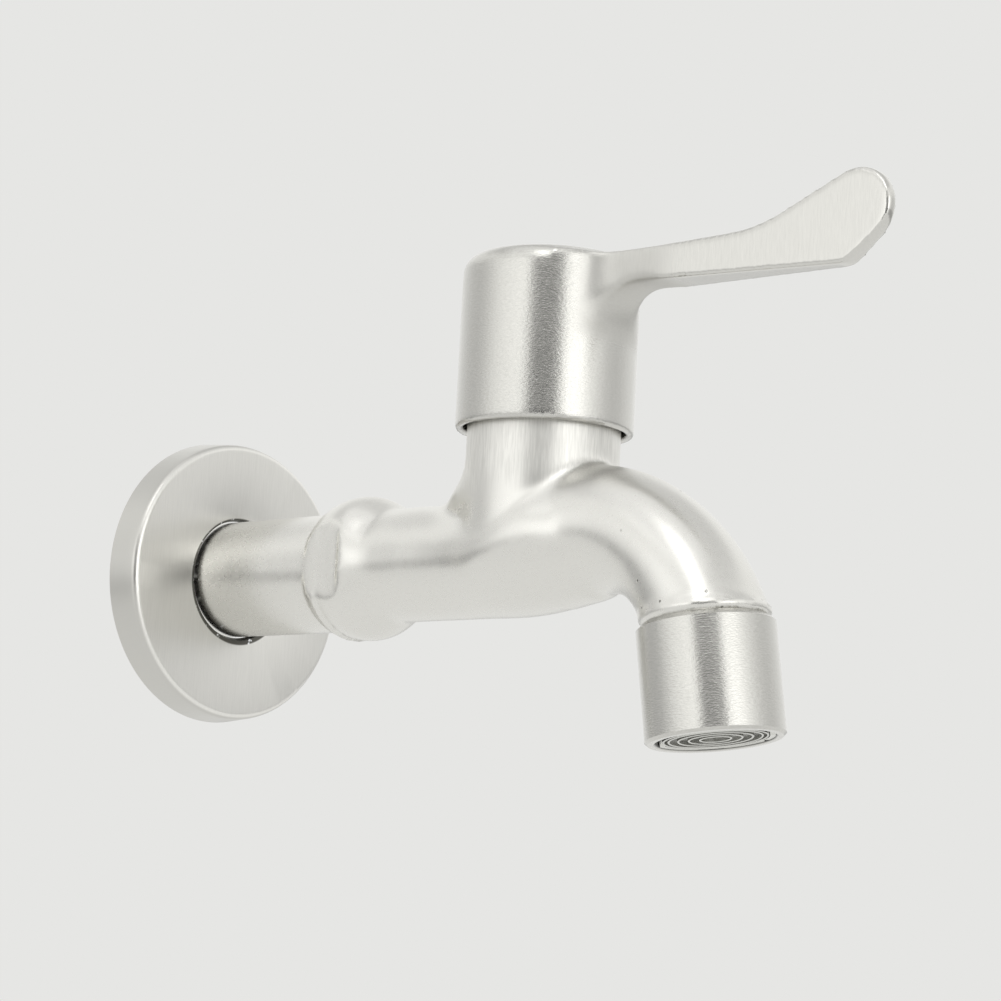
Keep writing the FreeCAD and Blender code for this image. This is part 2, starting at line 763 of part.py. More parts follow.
def handle():
    """Cap and lever in one casting."""
    cap_body = cap()
    form = lever_form()
    plan = lever_plan()
    doc.recompute()
    blank = doc.addObject("Part::Common", "lever_blank")
    blank.Base = form
    blank.Tool = plan
    doc.recompute()
    whole = doc.addObject("Part::Fuse", "handle")
    whole.Base = cap_body
    whole.Tool = blank
    whole.Refine = True
    whole.Label = "handle"
    return whole


def handle_screw():
    """Grub screw with a hexagon socket, in the back of the cap."""
    body = new_body("handle_screw", at.valve_x)
    front = at.square / 2.0 + at.gap
    sketch = new_sketch(body, "screw_profile")
    outline(sketch, [
        (-front, at.screw_level),
        (-front, at.screw_level + at.screw_radius - 0.6),
        (-front - 0.6, at.screw_level + at.screw_radius),
        (-front - at.screw_length, at.screw_level + at.screw_radius),
        (-front - at.screw_length, at.screw_level),
    ])
    axis_line(sketch, (-20.0, at.screw_level), (0.0, at.screw_level))
    revolve(body, "screw_turned", sketch, "Axis0")
    socket = new_sketch(body, "screw_socket_section", "YZ_Plane", -(front + at.screw_length))
    hexagon(socket, at.screw_socket / 2.0, at.screw_level)
    extrude(body, "screw_socket_cut", socket, at.screw_socket_depth, pocket=True, flip=True)
    return body


def hexagon(sketch, apothem, lift=ZERO):
    """A hexagon about a point on the sketch's vertical axis, with a flat on top."""
    reach = apothem / math.cos(math.radians(30.0))
    outline(sketch, [(reach * math.cos(math.radians(60.0 * i)),
                      lift + reach * math.sin(math.radians(60.0 * i))) for i in range(6)])


def cartridge_shell():
    """Brass bonnet: sleeve for the discs, thread, collar, spanner hexagon and nose."""
    body = new_body("cartridge_shell", at.valve_x)
    sketch = new_sketch(body, "shell_profile")
    thread = at.neck_thread - at.gap
    outline(sketch, [
        (pocket_radius, at.shell_bottom),
        (sleeve_radius, at.shell_bottom),
        (sleeve_radius, at.neck_top - at.neck_thread_depth + 0.4),
        (thread, at.neck_top - at.neck_thread_depth + 1.2),
        (thread, collar_bottom),
        (at.shell_collar_radius, collar_bottom),
        (at.shell_collar_radius, collar_top),
        (at.shell_nose_radius, collar_top),
        (at.shell_nose_radius, nose_top),
        (stem_bore, nose_top),
        (stem_bore, pocket_top),
        (pocket_radius, pocket_top),
    ])
    revolve(body, "shell_turned", sketch)
    spanner = new_sketch(body, "shell_hexagon", "XY_Plane", collar_top)
    hexagon(spanner, at.shell_hex / 2.0)
    circle(spanner, 0, 0, stem_bore)
    extrude(body, "shell_hexagon_pad", spanner, at.shell_hex_height)
    window = new_sketch(body, "shell_windows", "YZ_Plane", -(at.chamber_radius + 1.0))
    level = moving_top - at.window_height * 0.5
    half = at.window_width / 2.0
    lintel = level + at.window_height
    outline(window, [(-half, level), (half, level), (half, lintel), (-half, lintel)])
    extrude(body, "shell_windows_cut", window, (at.chamber_radius + 1.0) * 2.0, pocket=True, flip=True)
    return body


def cartridge_spindle():
    """Brass spindle: driving foot and tongue, two ring grooves, clip groove and square."""
    body = new_body("cartridge_spindle", at.valve_x)
    groove = at.stem_radius - at.ring_section * 2.0 - at.gap * 0.5
    half = at.ring_groove / 2.0
    sketch = new_sketch(body, "spindle_profile")
    outline(sketch, [
        (0, foot_bottom),
        (at.foot_radius, foot_bottom),
        (at.foot_radius, foot_top),
        (at.stem_radius, foot_top),
        (at.stem_radius, at.lower_ring_level - half),
        (groove, at.lower_ring_level - half),
        (groove, at.lower_ring_level + half),
        (at.stem_radius, at.lower_ring_level + half),
        (at.stem_radius, at.upper_ring_level - half),
        (groove, at.upper_ring_level - half),
        (groove, at.upper_ring_level + half),
        (at.stem_radius, at.upper_ring_level + half),
        (at.stem_radius, clip_bottom - at.gap),
        (at.stem_radius - at.clip_groove, clip_bottom - at.gap),
        (at.stem_radius - at.clip_groove, clip_top + at.gap),
        (at.stem_radius, clip_top + at.gap),
        (at.stem_radius, at.hub_bottom - 0.3),
        (0, at.hub_bottom - 0.3),
    ])
    revolve(body, "spindle_turned", sketch)
    square = new_sketch(body, "spindle_square", "XY_Plane", at.hub_bottom - 0.3)
    half = at.square / 2.0
    outline(square, [(-half, -half), (half, -half), (half, half), (-half, half)])
    extrude(body, "spindle_square_pad", square, at.square_top - at.hub_bottom + 0.3)
    tongue = new_sketch(body, "spindle_tongue", "XY_Plane", foot_bottom)
    reach = at.foot_radius * 0.8
    half = at.tongue_width / 2.0
    outline(tongue, [(-reach, -half), (reach, -half), (reach, half), (-reach, half)])
    extrude(body, "spindle_tongue_pad", tongue, at.tongue_height, flip=True)
    return body


def port(sketch, start_angle):
    """Two opposite openings of a disc, each a quarter sector."""
    for turn in (0.0, 180.0):
        corners = []
        for radius, angles in ((at.port_radius, (-38.0, -13.0, 13.0, 38.0)), (at.port_inner, (38.0, -38.0))):
            for angle in angles:
                where = math.radians(start_angle + turn + angle)
                corners.append((radius * math.cos(where), radius * math.sin(where)))
        outline(sketch, corners)


def disc(label, bottom, height, radius, start_angle, slot=False):
    """A ceramic disc with two openings; the moving one has the tongue's slot on top."""
    body = new_body(label, at.valve_x)
    sketch = new_sketch(body, f"{label}_outline", "XY_Plane", bottom)
    circle(sketch, 0, 0, radius)
    port(sketch, start_angle)
    extrude(body, f"{label}_pad", sketch, height)
    if slot:
        groove = new_sketch(body, f"{label}_slot", "XY_Plane", bottom + height - at.tongue_height)
        reach = at.foot_radius * 0.8 + at.gap
        half = at.tongue_width / 2.0 + at.gap
        outline(groove, [(-reach, -half), (reach, -half), (reach, half), (-reach, half)])
        extrude(body, f"{label}_slot_cut", groove, at.tongue_height + 0.5, pocket=True, flip=True)
    return body


def round_ring(label, middle, section, level):
    """A rubber ring of round section about the valve's axis."""
    body = new_body(label, at.valve_x)
    sketch = new_sketch(body, f"{label}_section")
    circle(sketch, middle, level, section)
    revolve(body, f"{label}_turned", sketch)
    return body


def plain_washer(label, inner, outer, bottom, top, x=None):
    """A flat ring."""
    return turned(label, [(inner, bottom), (outer, bottom), (outer, top), (inner, top)], x)


def spindle_clip():
    """An open circlip in the spindle's groove."""
    inner = at.stem_radius - at.clip_groove + at.gap
    body = plain_washer("spindle_clip", inner, at.clip_radius, clip_bottom, clip_top, at.valve_x)
    gap = new_sketch(body, "clip_gap", "XY_Plane", clip_bottom - 0.5)
    outline(gap, [(0, -1.6), (at.clip_radius + 1.0, -1.6), (at.clip_radius + 1.0, 1.6), (0, 1.6)])
    extrude(body, "clip_gap_cut", gap, at.clip_height + 1.0, pocket=True, flip=True)
    return body


# Aerator: levels are depths below the spout's end face, so they count down

def aerator_housing():
    """Turned sleeve with a thread above its ledge and the insert's seat below it."""
    top, end = -at.aerator_start, -at.aerator_end
    ledge_top = -at.ledge_level
    ledge_low = ledge_top - at.ledge_height
    body = new_body("aerator_housing")
    sketch = new_sketch(body, "housing_profile")
    thread = at.spigot_radius + at.gap
    outline(sketch, [
        (thread, top),
        (at.aerator_radius - at.aerator_edge, top),
        (at.aerator_radius, top - at.aerator_edge),
        (at.aerator_radius, end + at.aerator_edge * 0.6),
        (at.aerator_radius - at.aerator_edge * 0.6, end),
        (at.housing_bore + 0.3, end),
        (at.housing_bore, end + 0.3),
        (at.housing_bore, ledge_low),
        (at.ledge_radius, ledge_low),
        (at.ledge_radius, ledge_top),
        (thread, ledge_top),
    ])
    revolve(body, "housing_turned", sketch)
    tilt_to_outlet(body)
    return body


def aerator_pieces():
    """The washer and the insert's stack, from the spout's end down to the notched ring."""
    pieces = []
    gap = at.gap
    washer = plain_washer("aerator_washer", at.washer_bore, at.spigot_radius - 0.1,
                          -at.ledge_level + gap, -at.spigot_length - gap)
    pieces.append(washer)

    level = -at.ledge_level - at.ledge_height - gap
    dome = turned("aerator_dome_screen", [
        (0, level), (at.ledge_radius - 0.3, level), (at.ledge_radius - 0.3, level + 0.35),
        (at.ledge_radius - 1.2, level + 0.35), (at.ledge_radius * 0.5, level + at.dome_height + 0.25),
        (0, level + at.dome_height + 0.4)])
    pieces.append(dome)

    bottom = level - gap - at.diffuser_height
    diffuser = plain_washer("aerator_diffuser", ZERO, at.insert_radius, bottom, level - gap)
    jets = new_sketch(diffuser, "jets", "XY_Plane", bottom - 0.5)
    for i in range(12):
        angle = math.radians(30.0 * i)
        circle(jets, at.jet_circle * math.cos(angle), at.jet_circle * math.sin(angle), at.jet_radius)
    extrude(diffuser, "jets_cut", jets, at.diffuser_height + 1.0, pocket=True, flip=True)
    pieces.append(diffuser)

    top = bottom - gap
    bottom = top - at.core_height
    core = plain_washer("aerator_core", at.core_bore, at.insert_radius, bottom, top)
    cross = new_sketch(core, "core_cross", "XY_Plane", bottom + 0.6)
    half = at.spoke_width / 2.0
    reach = at.core_bore + 0.4
    for x, y in ((reach, half), (half, reach)):
        outline(cross, [(-x, -y), (x, -y), (x, y), (-x, y)])
        extrude(core, f"core_cross_pad_{len(core.Group)}", cross, at.core_height * 0.5)
        cross = new_sketch(core, f"core_cross_{len(core.Group)}", "XY_Plane", bottom + 0.6)
    core.removeObject(cross)
    doc.removeObject(cross.Name)
    pieces.append(core)

    top = bottom - gap
    bottom = top - at.screen_height
    pieces.append(plain_washer("aerator_screen", ZERO, at.insert_radius, bottom, top))

    top = bottom - gap
    bottom = top - at.grid_height
    grid = plain_washer("aerator_ring_grid", at.grid_rim - at.grid_wall, at.insert_radius, bottom, top)
    for i in range(1, 6):
        mid = at.grid_pitch * float(i) - at.grid_pitch * 0.5
        sketch = new_sketch(grid, f"grid_ring_{i}", "XY_Plane", bottom)
        circle(sketch, 0, 0, mid + at.grid_wall * 0.5)
        circle(sketch, 0, 0, mid - at.grid_wall * 0.5)
        extrude(grid, f"grid_ring_pad_{i}", sketch, at.grid_height)
    for i in range(3):
        sketch = new_sketch(grid, f"grid_spoke_{i}", "XY_Plane", bottom + 0.3)
        turn = math.radians(30.0 + 60.0 * i)
        ux, uy = math.cos(turn), math.sin(turn)
        reach = at.grid_rim
        half = at.spoke_width / 2.0
        outline(sketch, [
            (-reach * ux - half * uy, -reach * uy + half * ux),
            (-reach * ux + half * uy, -reach * uy - half * ux),
            (reach * ux + half * uy, reach * uy - half * ux),
            (reach * ux - half * uy, reach * uy + half * ux),
        ])
        extrude(grid, f"grid_spoke_pad_{i}", sketch, at.grid_height - 0.3)
    pieces.append(grid)

    top = bottom - gap
    bottom = top - at.ring_height
    ring = plain_washer("aerator_retaining_ring", at.ring_bore, at.housing_bore - gap, bottom, top)
    notches = new_sketch(ring, "ring_notches", "XY_Plane", bottom - 0.5)
    for i in range(3):
        turn = math.radians(120.0 * i)
        ux, uy = math.cos(turn), math.sin(turn)
        start, stop = at.ring_bore - 0.5, at.housing_bore + 1.0
        half = at.notch_width / 2.0
        outline(notches, [
            (start * ux - half * uy, start * uy + half * ux),
            (start * ux + half * uy, start * uy - half * ux),
            (stop * ux + half * uy, stop * uy - half * ux),
            (stop * ux - half * uy, stop * uy + half * ux),
        ])
    extrude(ring, "ring_notches_cut", notches, at.notch_depth + 0.5, pocket=True, flip=True)
    pieces.append(ring)
    for piece in pieces:
        tilt_to_outlet(piece)
    return pieces


def build():
    """Every sub-part, in the order in which the tap goes together."""
    parts = [tap_body(), wall_flange(), handle(), handle_screw(), cartridge_shell(), cartridge_spindle()]
    ring_middle = at.stem_radius - at.ring_section + at.gap * 0.25
    parts.append(round_ring("spindle_o_ring_lower", ring_middle, at.ring_section, at.lower_ring_level))
    parts.append(round_ring("spindle_o_ring_upper", ring_middle, at.ring_section, at.upper_ring_level))
    seal_level = seal_floor + at.shell_seal_section
    parts.append(round_ring("shell_o_ring", seal_middle, at.shell_seal_section, seal_level))
    parts.append(plain_washer("friction_washer", stem_bore, at.shell_nose_radius, washer_bottom, washer_top,
                              at.valve_x))
    parts.append(spindle_clip())
    parts.append(disc("moving_disc", moving_bottom, at.moving_disc_height, pocket_radius - 0.2, 0.0,
                      slot=True))
    parts.append(disc("fixed_disc", seal_top, at.fixed_disc_height, pocket_radius - at.gap, 90.0))
    parts.append(plain_washer("seat_seal", at.port_radius + 0.2, pocket_radius - at.gap, at.seat_level,
                              seal_top, at.valve_x))
    parts.append(aerator_housing())
    parts.extend(aerator_pieces())
    return parts


def check_and_write(parts):
    """Stop on any failed object or bad shape, then write one file for each sub-part."""
    doc.recompute()
    failed = [obj.Name for obj in doc.Objects if "Invalid" in obj.State or "Error" in obj.State]
    if failed:
        raise RuntimeError(f"failed objects: {failed}")
    for part in parts:
        shape = part.Shape
        if shape.isNull() or not shape.isValid() or not shape.Solids:
            raise RuntimeError(f"bad shape: {part.Label}")
    os.makedirs("parts", exist_ok=True)
    for part in parts:
        part.Shape.exportStep(f"parts/{part.Label}.step")
        print(f"{part.Label}: {len(part.Shape.Solids)} solid, {part.Shape.Volume:.1f} mm3")


check_and_write(build())
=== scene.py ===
import logging
import math
from collections.abc import Callable
from dataclasses import dataclass, replace
from enum import Enum
from functools import cache

import bmesh
import bpy
from mathutils import Euler, Matrix, Vector


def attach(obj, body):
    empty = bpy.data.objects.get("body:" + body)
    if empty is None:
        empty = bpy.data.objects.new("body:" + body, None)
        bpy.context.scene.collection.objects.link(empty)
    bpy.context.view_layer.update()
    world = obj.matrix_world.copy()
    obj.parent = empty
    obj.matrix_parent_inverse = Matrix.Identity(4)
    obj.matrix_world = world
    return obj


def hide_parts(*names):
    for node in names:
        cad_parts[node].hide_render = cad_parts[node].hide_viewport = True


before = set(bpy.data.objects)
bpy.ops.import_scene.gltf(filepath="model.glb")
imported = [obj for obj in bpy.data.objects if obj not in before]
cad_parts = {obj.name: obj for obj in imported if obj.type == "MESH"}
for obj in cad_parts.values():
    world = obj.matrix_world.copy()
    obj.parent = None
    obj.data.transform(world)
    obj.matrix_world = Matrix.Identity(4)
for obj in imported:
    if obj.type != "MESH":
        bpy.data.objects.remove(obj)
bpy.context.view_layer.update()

log = logging.getLogger("cold_water_tap")

MM = 0.001
# The tap's frame: +X runs out of the wall along the shank, +Z is up. Places in millimetres.
VALVE_X = 79.2
OUTLET_TILT = math.radians(9.0)
# The thread ends a hair inside the CAD's box.
THREAD_RADIUS = 10.4775
THREAD_LENGTH = 14.998
SIDES = (-1.0, 1.0)
# Points nearer than this are one point, and points nearer to a cut than this lie on it, in metres.
SAME_POINT = 1e-6
ON_CUT = 1e-7

Socket = bpy.types.NodeSocket
BMesh = bmesh.types.BMesh
Pair = tuple[float, float]
Triple = tuple[float, float, float]


class Body(Enum):
    """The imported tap's bodies, which move against each other."""

    TAP = "tap_body"
    LEVER = "lever"
    FLANGE = "flange"


def linear(hex_colour: str) -> tuple[float, float, float, float]:
    """Turn an sRGB hex colour to linear.

    Args:
        hex_colour: six digits, such as "C8C8C4".

    Returns:
        Red, green, blue and an alpha of 1.
    """
    out = []
    for i in (0, 2, 4):
        c = int(hex_colour[i:i + 2], 16) / 255.0
        out.append(c / 12.92 if c <= 0.04045 else ((c + 0.055) / 1.055) ** 2.4)
    return (*out, 1.0)


def metres(lengths_mm: tuple[float, ...], start_mm: float = 0.0) -> list[float]:
    """Millimetres from a starting place, as metres."""
    return [(start_mm + length) * MM for length in lengths_mm]


@dataclass
class Nodes:
    """The nodes of a material or of the room, and the coordinates, in metres, that its patterns follow."""

    tree: bpy.types.NodeTree
    place: Socket | None = None

    def give(self, node: bpy.types.Node, sockets: dict) -> None:
        """Give a node's inputs their values and links.

        Args:
            node: the node.
            sockets: an input's name or index, and the output, hex colour or value that it gets.
        """
        for key, value in sockets.items():
            if isinstance(value, Socket):
                self.tree.links.new(value, node.inputs[key])
            else:
                node.inputs[key].default_value = linear(value) if isinstance(value, str) else value

    def add(self, kind: str, sockets: dict | None = None, output: str | int = 0, **settings: object) -> Socket:
        """Add one node with its settings and links.

        Args:
            kind: the node's type.
            sockets: what its inputs get.
            output: the name or index of the output that is wanted.
            settings: the node's own properties.

        Returns:
            The output.
        """
        node = self.tree.nodes.new(kind)
        for key, value in settings.items():
            setattr(node, key, value)
        self.give(node, sockets or {})
        return node.outputs[output]

    def unevenness(self, patch_mm: Triple, detail: float = 3.0) -> Socket:
        """An uneven surface whose patches have their own length along each axis.

        Args:
            patch_mm: a patch's length along X, Y and Z.
            detail: how many finer layers it has.

        Returns:
            The unevenness, about 0 to 1.
        """
        stretched = self.add("ShaderNodeMapping", {"Vector": self.place,
                                                   "Scale": tuple(1.0 / (length * MM) for length in patch_mm)})
        return self.add("ShaderNodeTexNoise", {"Vector": stretched, "Scale": 1.0, "Detail": detail, "Roughness": 0.6})

    def zone(self, *limits: tuple[Socket, float, float]) -> Socket:
        """A part of the surface or of the room, within soft limits.

        Args:
            limits: for each one, what is measured, where the zone starts to show and where it is full.

        Returns:
            1 inside all the limits, 0 outside any of them.
        """
        inside = None
        for measured, start, full in limits:
            step = self.add("ShaderNodeMapRange", {"Value": measured, "From Min": start, "From Max": full},
                            interpolation_type="SMOOTHSTEP")
            if inside is not None:
                step = self.add("ShaderNodeMath", {0: inside, 1: step}, operation="MULTIPLY")
            inside = step
        return inside

    def coats(self, ground: Socket | str, *layers: tuple[Socket, Socket | str | tuple]) -> Socket:
        """Lay colours one after the other on a ground colour.

        Args:
            ground: an output or a hex colour.
            layers: where each one lies, and its colour.

        Returns:
            The colour.
        """
        for where, colour in layers:
            ground = self.add("ShaderNodeMix", {0: where, 6: ground, 7: colour}, 2, data_type="RGBA")
        return ground

    def gloss(self, worn: Socket, limits: Pair, roughness: Pair) -> Socket:
        """A roughness that follows the wear of the surface.

        Args:
            worn: the wear.
            limits: the wear at which the surface is least and most rough.
            roughness: the least and the most roughness.

        Returns:
            The roughness.
        """
        return self.add("ShaderNodeMix", {0: self.zone((worn, *limits)), 2: roughness[0], 3: roughness[1]})

    def from_axis(self, through_mm: Triple, across: Triple) -> Socket:
        """The distance from an axis along one of the coordinates.

        Args:
            through_mm: a point on the axis.
            across: 1 for the two coordinates that are square to the axis, 0 for the third.

        Returns:
            The distance in metres.
        """
        away = self.add("ShaderNodeVectorMath", {0: self.place, 1: Vector(through_mm) * MM}, operation="SUBTRACT")
        flat = self.add("ShaderNodeVectorMath", {0: away, 1: across}, operation="MULTIPLY")
        return self.add("ShaderNodeVectorMath", {0: flat}, "Value", operation="LENGTH")


def new_material(name: str) -> tuple[bpy.types.Material, Nodes, bpy.types.Node]:
    """Start a material.

    Args:
        name: the material's name.

    Returns:
        The material, its nodes and its shader.
    """
    material = bpy.data.materials.new(name)
    material.use_nodes = True
    nodes = Nodes(material.node_tree)
    return material, nodes, next(n for n in nodes.tree.nodes if n.type == "BSDF_PRINCIPLED")


@dataclass(frozen=True)
class Finish:
    """A finish that varies between two colours, and how far its coordinates are turned."""

    name: str
    bright: str
    dull: str
    metallic: float = 1.0
    turn: Triple = (0.0, 0.0, 0.0)

    @cache
    def material(self) -> bpy.types.Material:
        """Build the finish's material, only once.

        Returns:
            The material.
        """
        material, nodes, shader = new_material(self.name)
        nodes.place = nodes.add("ShaderNodeTexCoord", output="Object")
        if any(self.turn):
            nodes.place = nodes.add("ShaderNodeMapping", {"Vector": nodes.place, "Rotation": self.turn})
        nodes.give(shader, {"Metallic": self.metallic, **self.looks(nodes)})
        return material

    def looks(self, nodes: Nodes) -> dict[str, Socket | float]:
        """What the shader gets: each finish has its own."""
        raise NotImplementedError


@dataclass(frozen=True)
class BrushedStainless(Finish):
    """Stainless steel (grade 304) brushed with an abrasive belt, round an upright axis.

    It gives the eye a bright, slightly warm grey whose reflections break up along the brushing
    into fine darker and lighter streaks.
    """

    bright: str = "CFCECA"
    dull: str = "BAB9B5"
    roughness: Pair = (0.16, 0.24)
    # A belt of grit 240 leaves lines about 0.05 mm wide: drawn four times as coarse to show.
    line_width_mm: float = 0.2
    line_length_mm: float = 0.6
    depth_mm: float = 0.04
    # Broad clouds, where the belt was pressed harder, take part in the gloss by this share.
    cloud_mm: float = 9.0
    cloud_share: float = 0.6
    worn_range: Pair = (0.4, 1.2)

    def looks(self, nodes: Nodes) -> dict[str, Socket | float]:
        """What the shader gets.

        Args:
            nodes: the material's nodes.

        Returns:
            Colour, roughness and normal.
        """
        lines, colour = self.brushing(nodes)
        cloud = nodes.unevenness((self.cloud_mm,) * 3)
        worn = nodes.add("ShaderNodeMath", {0: cloud, 1: self.cloud_share, 2: lines}, operation="MULTIPLY_ADD")
        rough = self.hand_finished(nodes, nodes.gloss(worn, self.worn_range, self.roughness))
        normal = nodes.add("ShaderNodeBump", {"Height": lines, "Distance": self.depth_mm * MM})
        return {"Base Color": colour, "Roughness": rough, "Normal": normal}

    def brushing(self, nodes: Nodes) -> tuple[Socket, Socket]:
        """The height and the colour of level lines round the piece."""
        lines = nodes.unevenness((self.line_length_mm, self.line_length_mm, self.line_width_mm))
        return lines, nodes.coats(self.dull, (lines, self.bright))

    def hand_finished(self, nodes: Nodes, rough: Socket) -> Socket:
        """The roughness with what was finished by hand: nothing, unless a piece says so."""
        return rough


@dataclass(frozen=True)
class BrushedSleeve(BrushedStainless):
    """Turned stainless steel tube, brushed round the tilted outlet; its bore is painted dark as the shade inside it.
    """

    turn: Triple = (0.0, OUTLET_TILT, 0.0)
    # How far out the outlet's axis lies once the coordinates are turned to it.
    axis_x_mm: float = 111.83
    # Inside these radii from the outlet's axis the bore is painted dark, as painted shade deep in the mouth.
    bore_shade_edge_mm: Pair = (9.7, 9.5)
    bore_shade: str = "3C3C3A"

    def brushing(self, nodes: Nodes) -> tuple[Socket, Socket]:
        """Lines round the outlet, and painted shade in the bore.

        Args:
            nodes: the material's nodes.

        Returns:
            The lines' height and the colour.
        """
        lines, colour = super().brushing(nodes)
        out = nodes.from_axis((self.axis_x_mm, 0.0, 0.0), (1.0, 1.0, 0.0))
        # Painted shade in the bore.
        return lines, nodes.coats(colour, (nodes.zone((out, *metres(self.bore_shade_edge_mm))), self.bore_shade))


@dataclass(frozen=True)
class BrushedSheet(BrushedStainless):
    """Pressed stainless steel sheet with long upright lines.

    Its rim is a little duller, and the edge of its hole is painted dark as shade, with the punch's burrs on it
    painted as bright glints.
    """

    # The lines' length out from the wall and upright.
    long_line_mm: Pair = (3.6, 4.8)
    hole_z_mm: float = -0.4
    # Inside these radii round the hole the lip is painted dark as shade.
    lip_shade_edge_mm: Pair = (11.9, 11.6)
    lip_shade: str = "5F5E59"
    # The punch's burrs on the lip are painted near-white as bright glints.
    burr_glint: str = "F4F6F8"
    burr_mm: float = 1.3
    burr_detail: float = 4.0
    burr_range: Pair = (0.60, 0.66)
    rim_edge_mm: Pair = (24.9, 25.3)
    rim: str = "C4C3BF"

    def brushing(self, nodes: Nodes) -> tuple[Socket, Socket]:
        """Upright lines, the painted shade and burr glints at the hole's lip, and the rim.

        Args:
            nodes: the material's nodes.

        Returns:
            The lines' height and the colour.
        """
        along, upright = self.long_line_mm
        lines = nodes.unevenness((along, self.line_width_mm, upright))
        out = nodes.from_axis((0.0, 0.0, self.hole_z_mm), (0.0, 1.0, 1.0))
        burrs = nodes.unevenness((self.burr_mm,) * 3, self.burr_detail)
        # The lip's painted shade, with the burrs painted on it as bright glints.
        lip_shade = nodes.coats(self.lip_shade, (nodes.zone((burrs, *self.burr_range)), self.burr_glint))
        # Painted shade at the hole's lip.
        at_lip_shade, at_rim = (nodes.zone((out, *metres(edge))) for edge in (self.lip_shade_edge_mm, self.rim_edge_mm))
        return lines, nodes.coats(self.dull, (lines, self.bright), (at_lip_shade, lip_shade), (at_rim, self.rim))


@dataclass(frozen=True)
class BrushedCasting(BrushedStainless):
    """Cast stainless steel, brushed round its cap and upright along its lever.

    The hollow between the two was linished by hand and is duller.
    """

    # Where the cap's brushing gives way to the lever's, out from the valve's axis.
    lever_start_mm: Pair = (11.0, 22.0)
    lever_dull: str = "C4C3BF"
    lever_bright: str = "D2D1CD"
    lever_line_mm: float = 2.4
    # The lever's lines are this much shallower than the cap's.
    lever_depth: float = 0.3
    # The hollow's near and far side, out from the valve's axis, and its lower end.
    hollow_near_mm: Pair = (11.5, 15.5)
    hollow_far_mm: Pair = (32.0, 24.0)
    hollow_low_mm: Pair = (34.0, 38.0)
    hollow_roughness: float = 0.48

    def brushing(self, nodes: Nodes) -> tuple[Socket, Socket]:
        """Level lines round the cap and upright ones on the lever.

        Args:
            nodes: the material's nodes.

        Returns:
            The lines' height and the colour.
        """
        level, cap = super().brushing(nodes)
        upright = nodes.unevenness((self.line_width_mm, self.line_length_mm, self.lever_line_mm))
        faint = nodes.add("ShaderNodeMath", {0: upright, 1: self.lever_depth}, operation="MULTIPLY")
        along = nodes.add("ShaderNodeSeparateXYZ", {0: nodes.place}, "X")
        on_lever = nodes.zone((along, *metres(self.lever_start_mm, VALVE_X)))
        lever = nodes.coats(self.lever_dull, (upright, self.lever_bright))
        return (nodes.add("ShaderNodeMix", {0: on_lever, 2: level, 3: faint}),
                nodes.coats(cap, (on_lever, lever)))

    def hand_finished(self, nodes: Nodes, rough: Socket) -> Socket:
        """The roughness with the dull hollow between cap and lever.

        Args:
            nodes: the material's nodes.
            rough: the brushing's roughness.

        Returns:
            The roughness.
        """
        parts = nodes.add("ShaderNodeSeparateXYZ", {0: nodes.place}).node.outputs
        hollow = nodes.zone((parts["X"], *metres(self.hollow_near_mm, VALVE_X)),
                            (parts["X"], *metres(self.hollow_far_mm, VALVE_X)),
                            (parts["Z"], *metres(self.hollow_low_mm)))
        return nodes.add("ShaderNodeMix", {0: hollow, 2: rough, 3: self.hollow_roughness})


